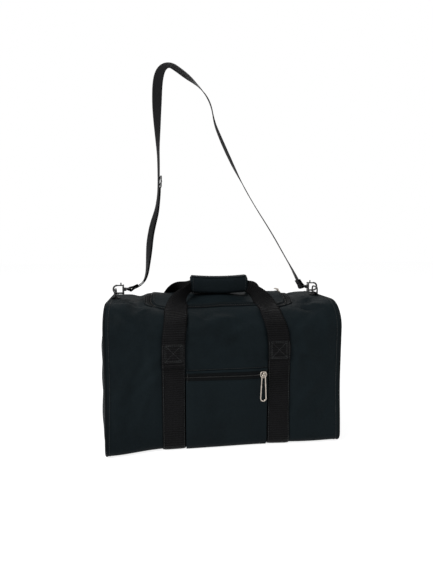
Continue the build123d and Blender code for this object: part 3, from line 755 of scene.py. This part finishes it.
def flap_trim():
    """Piping and zip tape on the flap, tape and teeth on the bag, and their stitching."""
    piping = laid("flap_piping", flap_path(3.0, FLAP_REAR - 6), round_loop(1.45), 1.0, BINDING)
    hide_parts("lid_piping")
    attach(piping, "lid")
    hem = laid("flap_hem", flap_path(6.6, FLAP_REAR - 6), band_loop(6.5, 0.9), 0.9, TAPE)
    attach(hem, "lid")
    stitching("flap_stitching", [row_on_bag(flap_path(10.0, FLAP_REAR - 6), 2.1)], THREAD, "lid")
    tape = laid("opening_zip_tape", flap_path(-ZIP_GAP - 4.0, FLAP_REAR - 2), band_loop(8.0, 0.8), 0.1,
                TAPE)
    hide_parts("opening_tape")
    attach(tape, "bag")
    welt = laid("opening_welt", flap_path(-ZIP_GAP - 9.5, FLAP_REAR - 2), round_loop(1.3), -0.2,
                BINDING)
    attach(welt, "bag")
    stitching("opening_stitching", [row_on_bag(flap_path(-ZIP_GAP - 6.4, FLAP_REAR - 2), 1.0)], THREAD, "bag")
    teeth = zip_teeth("opening_teeth", flap_path(-ZIP_GAP / 2, FLAP_REAR - 1), 0.1)
    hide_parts("opening_coil")
    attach(teeth, "bag")


def zip_teeth(name, path, lift):
    """Coil teeth: short rounded rods across the zip, one a pitch, leaning in turn each way."""
    path = spread_path(path, TOOTH_PITCH)
    way = heading_along(path)
    lean = np.where(np.arange(len(path)) % 2, 0.35, -0.35)[:, None]
    out = 1.25 * (np.stack([-way[:, 1], way[:, 0]], 1) + lean * way)
    a = on_bag(*(path - out).T, lift + 0.6)
    b = on_bag(*(path + out).T, lift + 0.6)
    return capsules(name, (a + b) / 2, b - a, TOOTH_LENGTH, TOOTH_R, COIL)


# Handles

def arch_rows(face, sign, start, outline):
    """The free webbing from the shoulder to the wrap: a cubic curve from its start to its end by way of
    two more points. Its width turns from along the bag to across it, and narrows as the wrap folds it."""
    inward = np.array([0.0, -face * math.cos(ARCH_RISE), math.sin(ARCH_RISE)])
    end = np.array([sign * (GRIP_HALF - 5.0), face * 7.5, GRIP_MIDDLE_Z - 2.0])
    first = start + inward * 36 - [sign * 5.0, 0, 1.0]
    second = end + [sign * 17.0, face * 15.0, -8.0]
    t = np.linspace(0, 1, 34)[1:, None]
    path = (1 - t) ** 3 * start + 3 * t * (1 - t) ** 2 * first + 3 * t * t * (1 - t) * second + t ** 3 * end
    path = np.concatenate([path, [end - [sign * 12.0, 0, 0], end - [sign * 24.0, 0, 0]]])
    way = heading_along(np.concatenate([[start], path]))[1:]
    turn = smooth(np.linspace(0, 1, len(path)) * 1.25)[:, None]
    side = (1 - turn) * [face, 0, 0] + turn * [0, -0.35, sign * face]
    side = unit(side - way * (side * way).sum(1)[:, None])
    normal = np.cross(way, side)
    across = outline[:, 0] * (1 - 0.44 * turn)
    cup = 8.8 * turn * (1 - turn) * (across / 19) ** 2
    up = outline[:, 1] - WEB_THICK / 2 + cup
    return path[:, None] + across[..., None] * side[:, None] + up[..., None] * normal[:, None]


def web_lean(s, sign):
    """How far the webbing is drawn in above its stitched box, more on the right side of the bag."""
    far = 10.0 if sign > 0 else 5.0
    return far * smooth((s - s_front(STITCH_BOX_Z)) / (S_FRONT_TOP + 50 - s_front(STITCH_BOX_Z)))


def doubled(s, sign):
    """The handle's own webbing lies over the webbing below it: a step one layer high, with a curled end."""
    end = s_front(151.0 if sign > 0 else 143.0)
    curl = 1.6 * np.exp(-((s - end - 3.5) / 2.6) ** 2) + 1.0 * np.exp(-((s - end - 12) / 3.0) ** 2)
    fold = 1.2 * np.exp(-((s - s_front(198.0 if sign > 0 else 192.0)) / 3.5) ** 2)
    return 2.0 * smooth((s - end) / 1.8) + curl + fold


def handle_webbing(face_name, face, side, sign):
    """One run of handle webbing: sewn up the face of the bag, then free from the shoulder to the wrap."""
    outline = band_loop(WEB_WIDTH, WEB_THICK, count=13)
    low = S_FRONT_LOW - BOTTOM_RADIUS * math.radians(TUCK_DEG)
    high = S_FRONT_TOP + TOP_RADIUS * math.radians(SHOULDER_DEG)
    s = np.linspace(low, high, 220)[:, None]
    x = sign * (WEB_X - web_lean(s, sign))
    around = s if face < 0 else GIRTH - s
    lift = 0.25 + doubled(s, sign)
    sewn = on_bag(x + face * outline[:, 0], around + 0 * outline[:, 0], lift + outline[:, 1])
    start = on_bag(x[-1, 0], around[-1, 0], lift[-1, 0] + WEB_THICK / 2)
    before = on_bag(x[-1, 0], around[-2, 0], lift[-1, 0] + WEB_THICK / 2)
    free = arch_rows(face, sign, start, outline)
    piece = grid(f"{face_name}_{side}_webbing", np.concatenate([sewn, free]), WEBBING,
                 loop=True, caps=True)
    nodes = [f"{face_name}_{side}_web"] + ([f"{face_name}_handle"] if side == "left" else [])
    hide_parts(*nodes)
    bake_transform(piece)
    box_and_cross(face_name, face, side, sign)


def box_and_cross(face_name, face, side, sign):
    """The box of stitching with its cross, and the rows that hold the webbing's edges."""
    middle = np.array([sign * WEB_X, s_front(STITCH_BOX_Z)])
    turns = STITCH_BOX_HALF * np.array([(-1, -1), (1, -1), (1, 1), (-1, 1), (-1, -1)])
    corners = middle + turns
    inner = middle + 0.86 * turns
    cross = [corners[[0, 2]], corners[[1, 3]]]
    x, high = corners[2] - [STITCH_BOX_HALF, 0]
    edge = WEB_WIDTH / 2 - 2.2
    runs = [[(x + k * edge, S_FRONT_LOW - 8), (x + k * edge, high)] for k in (-1, 1)]
    rows = []
    for path in [corners, inner, *cross, *runs]:
        path = spread_path(path, 2.0)
        path[:, 0] -= sign * web_lean(path[:, 1], sign)
        lift = 0.35 + WEB_THICK + doubled(path[:, 1], sign)
        around = path[:, 1] if face < 0 else GIRTH - path[:, 1]
        rows.append(on_bag(path[:, 0], around, lift))
    stitches = stitching(f"{face_name}_{side}_box_stitching", rows, THREAD, "bag", pitch=3.0, length=2.3)
    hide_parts(f"{face_name}_{side}_stitching")


def grip_section(face):
    """Half of the wrap's section: a squarish half round, closed by a flat face at the parting."""
    phi = np.linspace(0, math.pi, 30)
    y = PARTING + (GRIP_REACH - PARTING) * np.sin(phi) ** 0.45
    z = -GRIP_TALL * np.sign(np.cos(phi)) * np.abs(np.cos(phi)) ** 0.45
    flat = np.linspace(1, -1, 10)[1:-1]
    outline = np.concatenate([np.stack([y, z], 1), np.stack([0 * flat + PARTING, GRIP_TALL * flat], 1)])
    return outline * [face, 1]


def grip_pad(face_name, face):
    """Half of the padded wrap: its section carried along the handle, sagging a little, with soft creases."""
    outline = grip_section(face)
    u = np.linspace(-1, 1, 84)[:, None]
    end = (1 - np.abs(u) ** 30) ** 0.35
    shrink = 0.86 + 0.14 * end
    x = GRIP_HALF * u + 0 * outline[:, 0]
    core = face * 8.0
    y = core + (outline[:, 0] - core) * shrink
    y = np.where(face * y < PARTING, face * PARTING, y)
    sag = -GRIP_SAG * (1 - u ** 2)
    z = GRIP_MIDDLE_Z + sag + outline[:, 1] * shrink
    puckers = 0.55 * np.sin(x / 5.2 + z / 7.0) * np.exp(-((np.abs(u) - 0.55) / 0.3) ** 2)
    swell_out = (puckers + 0.4 * np.sin(x / 13)) * np.clip(np.abs(outline[:, 0]) / 14, 0, 1)
    y = y + face * 0.5 * swell_out
    z = z + 0.4 * swell_out * np.sign(outline[:, 1])
    piece = grid(f"{face_name}_grip_pad", np.stack([x, y, z], -1), WRAP, loop=True, caps=True)
    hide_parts(f"{face_name}_grip")
    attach(piece, f"{face_name}_handle")
    rows = []
    lip = outline[2:28]
    for x_row in (4.0 - GRIP_HALF, GRIP_HALF - 4.0):
        k = np.interp(x_row / GRIP_HALF, u[:, 0], sag[:, 0])
        rows.append(np.stack([0 * lip[:, 0] + x_row, lip[:, 0] + face * 0.1,
                              GRIP_MIDDLE_Z + k + lip[:, 1] * 1.01], 1))
    stitching(f"{face_name}_grip_stitching", rows, THREAD, f"{face_name}_handle", pitch=3.0, length=2.2)


def grip_top(x, y):
    """Height of the wrap's top: its rounded section and its sag along the bag."""
    sag = -GRIP_SAG * (1 - (x / GRIP_HALF) ** 2)
    return GRIP_MIDDLE_Z + sag + GRIP_TALL * (1 - (np.abs(y) / (GRIP_REACH + 0.6)) ** 4.4) ** 0.225


def grip_flap():
    """The wrap's overlapping edge, held by hook and loop, over the top of the parting and down the front."""
    x = np.linspace(1.5 - GRIP_HALF, GRIP_HALF - 1.5, 70)[:, None]
    y = np.linspace(-GRIP_REACH + 3.0, 8.5, 18)[None]
    edge = 0.35 * np.sin(x / 6.0)
    points = np.stack([x + 0 * y, y + edge * (y > 7), grip_top(x, y) + 0.35], -1)
    piece = grid("grip_flap", points, WRAP)
    thicken(piece, 1.1, offset=1.0)
    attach(piece, "front_handle")
    line = np.stack([np.linspace(3 - GRIP_HALF, GRIP_HALF - 3, 40), np.full(40, 6.4), np.zeros(40)], 1)
    line[:, 2] = grip_top(line[:, 0], line[:, 1]) + 1.5
    stitching("grip_flap_stitching", [line], THREAD, "front_handle", pitch=3.0, length=2.2)


# Pocket

def across_pocket(z):
    """A level path from one side of the pocket to the other."""
    return spread_path([(-POCKET_HALF, s_front(z)), (POCKET_HALF, s_front(z))], 2.5)


def pocket():
    """The pocket's cloth, puffed up as a sine up its height and a fourth power across it, with its zip
    tapes, folds, teeth and stitching."""
    top = POCKET_ZIP_Z - BAND_HALF
    low = S_FRONT_LOW - BOTTOM_RADIUS * math.radians(TUCK_DEG)
    s = np.linspace(low, s_front(top), 60)[:, None]
    x = np.linspace(-POCKET_HALF, POCKET_HALF, 70)[None]
    u = x / POCKET_HALF
    rise = (s - low) / (s_front(top) - low)
    puff = 3.0 * (1 - np.abs(u) ** 4) * np.sin(math.pi * np.clip(rise, 0, 1)) ** 0.7
    slack = 0.5 * np.sin(x / 11.0 + s / 23.0) * (1 - u ** 2) * smooth(rise * 4) * smooth((1 - rise) * 5)
    cloth = grid("pocket_cloth", on_bag(x, s, 1.7 + puff + slack), NYLON)
    thicken(cloth, 1.3)
    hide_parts("pocket_panel")
    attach(cloth, "bag")
    for name, z, node in (("lower", POCKET_ZIP_Z - 4.9, "pocket_tape_lower"),
                          ("upper", POCKET_ZIP_Z + 4.9, "pocket_tape_upper")):
        tape = laid(f"pocket_{name}_tape", across_pocket(z), band_loop(7.4, 0.9), 0.3, TAPE)
        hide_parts(node)
        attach(tape, "bag")
    for name, z in (("lower", top - 0.2), ("upper", POCKET_ZIP_Z + BAND_HALF + 0.6)):
        fold = laid(f"pocket_{name}_fold", across_pocket(z), band_loop(4.6, 2.1, edge=3), 0.6,
                    NYLON)
        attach(fold, "bag")
    teeth = zip_teeth("pocket_teeth", across_pocket(POCKET_ZIP_Z), 0.9)
    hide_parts("pocket_coil")
    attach(teeth, "bag")
    rows = [row_on_bag([(1 - POCKET_HALF, s_front(z)), (POCKET_HALF - 1, s_front(z))], lift)
            for z, lift in ((top - 3.6, 2.6), (POCKET_ZIP_Z + BAND_HALF + 4.2, 0.5))]
    rows += [row_on_bag([(x_row, S_FRONT_LOW - 6), (x_row, s_front(POCKET_ZIP_Z + BAND_HALF))], 2.4)
             for x_row in (2.5 - POCKET_HALF, POCKET_HALF - 2.5)]
    stitching("pocket_stitching", rows, THREAD, "bag", pitch=3.2, length=2.4)


def oval(middle, half_width, top, bottom, plane, taper):
    """A long closed loop: two straight sides joined by half rounds, narrower at the top by taper."""
    a = np.linspace(0, math.pi, 24)
    r0, r1 = half_width * taper, half_width
    head = np.stack([r0 * np.cos(a), top - r0 + r0 * np.sin(a)], 1)
    foot = np.stack([-r1 * np.cos(a), bottom + r1 - r1 * np.sin(a)], 1)
    flat = np.concatenate([head, spread_path([head[-1], foot[0]], 2.0)[1:-1], foot,
                           spread_path([foot[-1], head[0]], 2.0)[1:-1]])
    return np.array(middle) + flat[:, :1] * plane[0] + flat[:, 1:] * plane[1]


def slider_bridge(name, foot, along, out, half, radius):
    """The wire arch over a slider: half of it as steps along and out from its foot, and its mirror image."""
    steps = np.array([*half, *((-a, b) for a, b in half[-2::-1])])
    path = foot + steps[:, :1] * along + steps[:, 1:] * out
    return tube(name, path, radius, NICKEL)


def box_middle(node):
    """The middle of a frame node's box, and its two corners, in millimetres."""
    low, high = (np.array(corner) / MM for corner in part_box(node))
    return (low + high) / 2, low, high


def pocket_runner():
    """The pocket zip's slider, a crowned body with a bridge, and its long wire puller."""
    middle, low, high = box_middle("pocket_slider")
    x, back, z = middle[0], high[1], POCKET_ZIP_Z
    body = superellipsoid("pocket_slider_body", (x, back - 1.7, z), (12.5, 3.2, 9.4), 0.45, NICKEL)
    bridge = slider_bridge("pocket_slider_bridge", np.array([x, back, z]), UP, -BACK,
                           [(3.6, 2.6), (3.4, 5.4), (1.8, 7.2), (0.0, 7.5)], 0.95)
    a = circle(28)
    ring = np.stack([x + 5.1 * np.cos(a), 0 * a + back - 3.9, z + 5.1 * np.sin(a)], 1)
    crown = tube("pocket_slider_crown", ring, 1.0, NICKEL, closed=True)
    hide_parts("pocket_slider")
    for part in (body, bridge, crown):
        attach(part, "pocket_slider")
    middle, low, high = box_middle("pocket_pull")
    path = oval(middle * [1, 1, 0], 4.6, high[2] - 1.0, low[2] + 1.0, (RIGHT, UP), taper=0.62)
    loop = tube("pocket_wire_pull", path, 1.15, NICKEL, closed=True)
    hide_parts("pocket_pull")
    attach(loop, "pocket_pull")


def flap_runner():
    """The flap zip's slider and short puller, parked at the rear right."""
    middle, low, high = box_middle("lid_slider")
    x, y, z = middle[0], middle[1], low[2]
    body = superellipsoid("flap_slider_body", (x, y, z + 1.7), (8.2, 12.4, 3.2), 0.45, NICKEL)
    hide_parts("lid_slider")
    bridge = slider_bridge("flap_slider_bridge", np.array([x, y, z]), -BACK, UP,
                           [(3.4, 2.6), (3.2, 5.4), (1.6, 7.0), (0.0, 7.3)], 0.9)
    for part in (body, bridge):
        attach(part, "lid_slider")
    middle, low, high = box_middle("lid_pull")
    path = oval(middle * [1, 0, 1], 2.1, -low[1] - 1.0, -high[1] + 1.0, (RIGHT, -BACK), taper=0.8)
    loop = tube("flap_wire_pull", path, 0.95, NICKEL, closed=True)
    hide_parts("lid_pull")
    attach(loop, "lid_pull")


# Ring tabs and strap

def round_off(points, rounds=3):
    """Rounds a chain of points by cutting each corner at a quarter of its sides, round after round."""
    for _ in range(rounds):
        a, b = points[:-1], points[1:]
        cut = np.stack([0.75 * a + 0.25 * b, 0.25 * a + 0.75 * b], 1).reshape(-1, points.shape[1])
        points = np.concatenate([points[:1], cut, points[-1:]])
    return points


def ring_tab(side, sign):
    """Webbing over the ring's bar: flat on the bag, up over the bar, and flat again."""
    x = box_middle(f"{side}_ring_tab")[0][0]
    profile = [(-9.0, 0.9), (-5.6, 1.0), (-3.4, 2.4), (-2.2, 4.8), (0.0, 6.0), (2.2, 4.8), (3.4, 2.4),
               (5.2, 1.0), (6.4, 0.9)]
    line = round_off(np.array([(x + sign * a, 0.0, HEIGHT + b) for a, b in profile]))
    normal = np.cross(heading_along(line), BACK)
    normal *= np.sign(normal[:, 2:].sum())
    outline = band_loop(20.0, 1.5, count=11)
    points = (line[:, None] + outline[None, :, :1] * BACK +
              (outline[None, :, 1:] - 0.75) * normal[:, None])
    piece = grid(f"{side}_tab_webbing", points, STRAP_WEB, loop=True, caps=True)
    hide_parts(f"{side}_ring_tab")
    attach(piece, "bag")


def strap_point(side, up, out=0.0):
    """A point of the strap's leaning plane, in metres: sideways, up the plane, and out towards the front."""
    side, up, out = np.broadcast_arrays(np.asarray(side, float), up, out)
    return np.stack([side, up * math.sin(STRAP_LEAN) - out * math.cos(STRAP_LEAN),
                     STRAP_AXIS_Z + up * math.cos(STRAP_LEAN) + out * math.sin(STRAP_LEAN)], -1)


def strap_line():
    """The strap's line, read from a NURBS spline through its route's control points."""
    route = [STRAP_FOLDS["left"], *STRAP_ROUTE, STRAP_FOLDS["right"]]
    data = bpy.data.curves.new("strap_route", "CURVE")
    data.dimensions = "3D"
    data.resolution_u = 16
    spline = data.splines.new("NURBS")
    spline.points.add(len(route) - 1)
    for point, (side, up) in zip(spline.points, route):
        point.co = (*strap_point(side, up), 1.0)
    spline.order_u = 3
    spline.use_endpoint_u = True
    holder = new_object("strap_route", data)
    bpy.context.view_layer.update()
    mesh = bpy.data.meshes.new_from_object(holder.evaluated_get(bpy.context.evaluated_depsgraph_get()))
    line = np.array([v.co for v in mesh.vertices])
    bpy.data.objects.remove(holder)
    bpy.data.meshes.remove(mesh)
    return spread_path(line, 0.0025)


def turned(way, twist):
    """Two directions square to the strap's, turned about it by twist: across the webbing and out of it.
    At no turn the webbing stands edge-on, with its width out of the leaning plane."""
    front = strap_point(0, 0, 1.0) - strap_point(0, 0, 0.0)
    beside = unit(np.cross(way, front))
    c, s = np.cos(twist)[..., None], np.sin(twist)[..., None]
    return c * front + s * beside, c * beside - s * front


def ribbon(name, line, twist, width, thick, shift, material):
    """Flat webbing along a line, turned by twist; shift moves a second layer off the first."""
    across, normal = turned(heading_along(line), twist)
    outline = band_loop(width, thick)
    points = (line[:, None] + outline[None, :, :1] * across[:, None] +
              (outline[None, :, 1:] - thick / 2 + shift) * normal[:, None])
    return grid(name, points / MM, material, loop=True, caps=True)


def shoulder_strap():
    """The strap: one band from hook to hook, doubled from the left hook to its adjuster, with its twist
    eased by a moving average."""
    line = strap_line()
    gone = distance_along(line)
    share, turn = np.array(STRAP_TWIST, float).T
    twist = np.radians(np.interp(gone / gone[-1], share, turn))
    kernel = np.hanning(21) / np.hanning(21).sum()
    twist = np.convolve(np.pad(twist, 10, "edge"), kernel, "valid")
    band = ribbon("shoulder_strap_band", line, twist, STRAP_WIDTH, STRAP_THICK, 0.0, STRAP_WEB)
    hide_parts("strap_webbing")
    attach(band, "shoulder_strap")
    adjuster_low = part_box("strap_adjuster")[0].z
    count = int(np.argmin((line[:, 2] < adjuster_low + 0.002) & (line[:, 0] < -0.05)))
    second = ribbon("strap_return_layer", line[:count], twist[:count], STRAP_WIDTH - 0.001, STRAP_THICK,
                    LAYER_SHIFT, STRAP_WEB)
    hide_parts("strap_return")
    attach(second, "shoulder_strap")
    folds = [strap_fold(side, sign) for side, sign in (("left", -1), ("right", 1))]
    slide = adjuster(line, twist, adjuster_low)
    strap_point(*STRAP_FOLDS["left"])


def adjuster(line, twist, low):
    """The three-bar slide: a rounded wire frame with a middle bar, on the band's outer side."""
    at = int(np.argmin(np.abs(line[:, 2] - low - 0.011) + 10 * (line[:, 0] > -0.05)))
    way = unit(line[at + 1] - line[at - 1])
    across, normal = turned(way, twist[at])
    middle = (line[at] + normal * LAYER_SHIFT) / MM
    a = np.linspace(0, math.pi / 2, 6)
    corner = np.stack([12.8 + 2.6 * np.cos(a), 7.6 + 2.6 * np.sin(a)], 1)
    outline = np.concatenate([corner, corner[::-1] * [-1, 1], corner * [-1, -1], corner[::-1] * [1, -1]])
    path = middle + outline[:, :1] * across + outline[:, 1:] * way
    rim = tube("adjuster_frame", path, 1.35, ENAMEL, closed=True)
    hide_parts("strap_adjuster")
    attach(rim, "shoulder_strap")
    bar = [middle + reach * across + lift * normal for reach, lift in ((-15.2, 0.8), (0.0, 1.2), (15.2, 0.8))]
    cross_bar = tube("adjuster_bar_0", bar, 1.2, ENAMEL)
    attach(cross_bar, "shoulder_strap")
    cross_bar.parent = rim
    cross_bar.matrix_parent_inverse.identity()
    return rim


def strap_fold(side, sign):
    """The strap's end: a teardrop of webbing round the eye's bar, its two layers meeting at the stitching."""
    bar = np.array([sign * EYE_BAR_X, 0.0])
    inward = unit(np.array(STRAP_FOLDS[side]) - bar)
    beside = np.array([-inward[1], inward[0]])
    a = np.radians(np.linspace(70, 290, 26))[:, None]
    loop = bar + FOLD_WRAP * (np.cos(a) * inward + np.sin(a) * beside)
    first = bar + np.linspace(FOLD_REACH, 0.003, 9)[:, None] * inward + FOLD_GAP * beside
    second = bar + np.linspace(0.003, FOLD_REACH - 0.001, 9)[:, None] * inward - FOLD_GAP * beside
    flat = round_off(np.concatenate([first[:-2], loop, second[2:]]), 2)
    line = strap_point(flat[:, 0], flat[:, 1])
    piece = ribbon(f"{side}_strap_end", line, np.zeros(len(line)), STRAP_WIDTH - 0.0005, 0.0022, 0.0, STRAP_WEB)
    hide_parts(f"{side}_strap_fold")
    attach(piece, "shoulder_strap")
    return piece


# The frame's own hardware

def dress_frame():
    """Finishes on the frame's own pieces that stay in view."""
    finishes = {"base_board": BOARD}
    for side in ("left", "right"):
        for part in ("d_ring", "hook", "gate", "swivel_eye"):
            finishes[f"{side}_{part}"] = ENAMEL
    for node, material in finishes.items():
        data = frame["nodes"][node].data
        data.materials.clear()
        data.materials.append(material)
        data.polygons.foreach_set("use_smooth", np.ones(len(data.polygons), bool))


# Room, light and camera

def room():
    """A pale floor that keeps a soft shadow, plain soft lamps, and a white surround for the camera."""
    mesh = bpy.data.meshes.new("floor")
    corners = [(-1, -1, 0), (1, -1, 0), (1, 1, 0), (-1, 1, 0)]
    mesh.from_pydata(FLOOR_HALF * np.array(corners), [], [(0, 1, 2, 3)])
    floor = new_object("floor", mesh)
    material = bpy.data.materials.new("pale_floor")
    material.use_nodes = True
    tree = material.node_tree
    tree.nodes.clear()
    seen = add(tree, "ShaderNodeLightPath")
    plain = add(tree, "ShaderNodeBsdfDiffuse", inputs={"Color": (0.9, 0.9, 0.9, 1)})
    glow = add(tree, "ShaderNodeEmission", inputs={"Color": (1, 1, 1, 1), "Strength": FLOOR_GLOW})
    soft = add(tree, "ShaderNodeMixShader",
               inputs={0: FLOOR_GLOW_SHARE, 1: plain.outputs[0], 2: glow.outputs[0]})
    rays = add(tree, "ShaderNodeMath", {"operation": "MAXIMUM"},
               {0: seen.outputs["Is Camera Ray"], 1: seen.outputs["Is Glossy Ray"]})
    rays = add(tree, "ShaderNodeMath", {"operation": "MAXIMUM"},
               {0: rays.outputs[0], 1: seen.outputs["Is Transmission Ray"]})
    both = add(tree, "ShaderNodeMixShader",
               inputs={0: rays.outputs[0], 1: plain.outputs[0], 2: soft.outputs[0]})
    out = add(tree, "ShaderNodeOutputMaterial")
    tree.links.new(both.outputs[0], out.inputs["Surface"])
    mesh.materials.append(material)
    world = bpy.data.worlds.new("studio")
    bpy.context.scene.world = world
    world.use_nodes = True
    tree = world.node_tree
    back = tree.nodes["Background"]
    seen = add(tree, "ShaderNodeLightPath")
    rays = add(tree, "ShaderNodeMath", {"operation": "MAXIMUM"},
               {0: seen.outputs["Is Camera Ray"], 1: seen.outputs["Is Transmission Ray"]})
    level = add(tree, "ShaderNodeMapRange",
                inputs={0: rays.outputs[0], 1: 0.0, 2: 1.0, 3: WORLD_LEVEL, 4: 1.0})
    back.inputs["Color"].default_value = (1, 1, 1, 1)
    tree.links.new(level.outputs[0], back.inputs["Strength"])
    for name, place, aim, size, power in LAMPS:
        lamp = bpy.data.lights.new(name, "AREA")
        lamp.size = size
        lamp.energy = power
        holder = new_object(name, lamp)
        holder.location = place
        holder.rotation_euler = (Vector(aim) - Vector(place)).to_track_quat("-Z", "Y").to_euler()


def camera():
    """The camera stands at the front, a little left and above, and looks slightly down."""
    eye = bpy.data.cameras.new("camera")
    eye.lens = CAMERA_LENS
    eye.sensor_width = 36.0
    eye.sensor_fit = "AUTO"
    holder = new_object("camera", eye)
    holder.location = CAMERA_PLACE
    holder.rotation_euler = CAMERA_TURN
    bpy.context.scene.camera = holder


bpy.context.scene.view_settings.view_transform = "Standard"
room()
camera()
shoulder_strap()
shell_cloth()
for side_name, side_sign in (("left", -1), ("right", 1)):
    end_cloth(side_name, side_sign)
    end_piping(side_name, side_sign)
    ring_tab(side_name, side_sign)
    for way_name, way_sign in (("front", -1), ("rear", 1)):
        handle_webbing(way_name, way_sign, side_name, side_sign)
flap_cloth()
flap_trim()
for way_name, way_sign in (("front", -1), ("rear", 1)):
    grip_pad(way_name, way_sign)
grip_flap()
pocket()
pocket_runner()
flap_runner()
dress_frame()
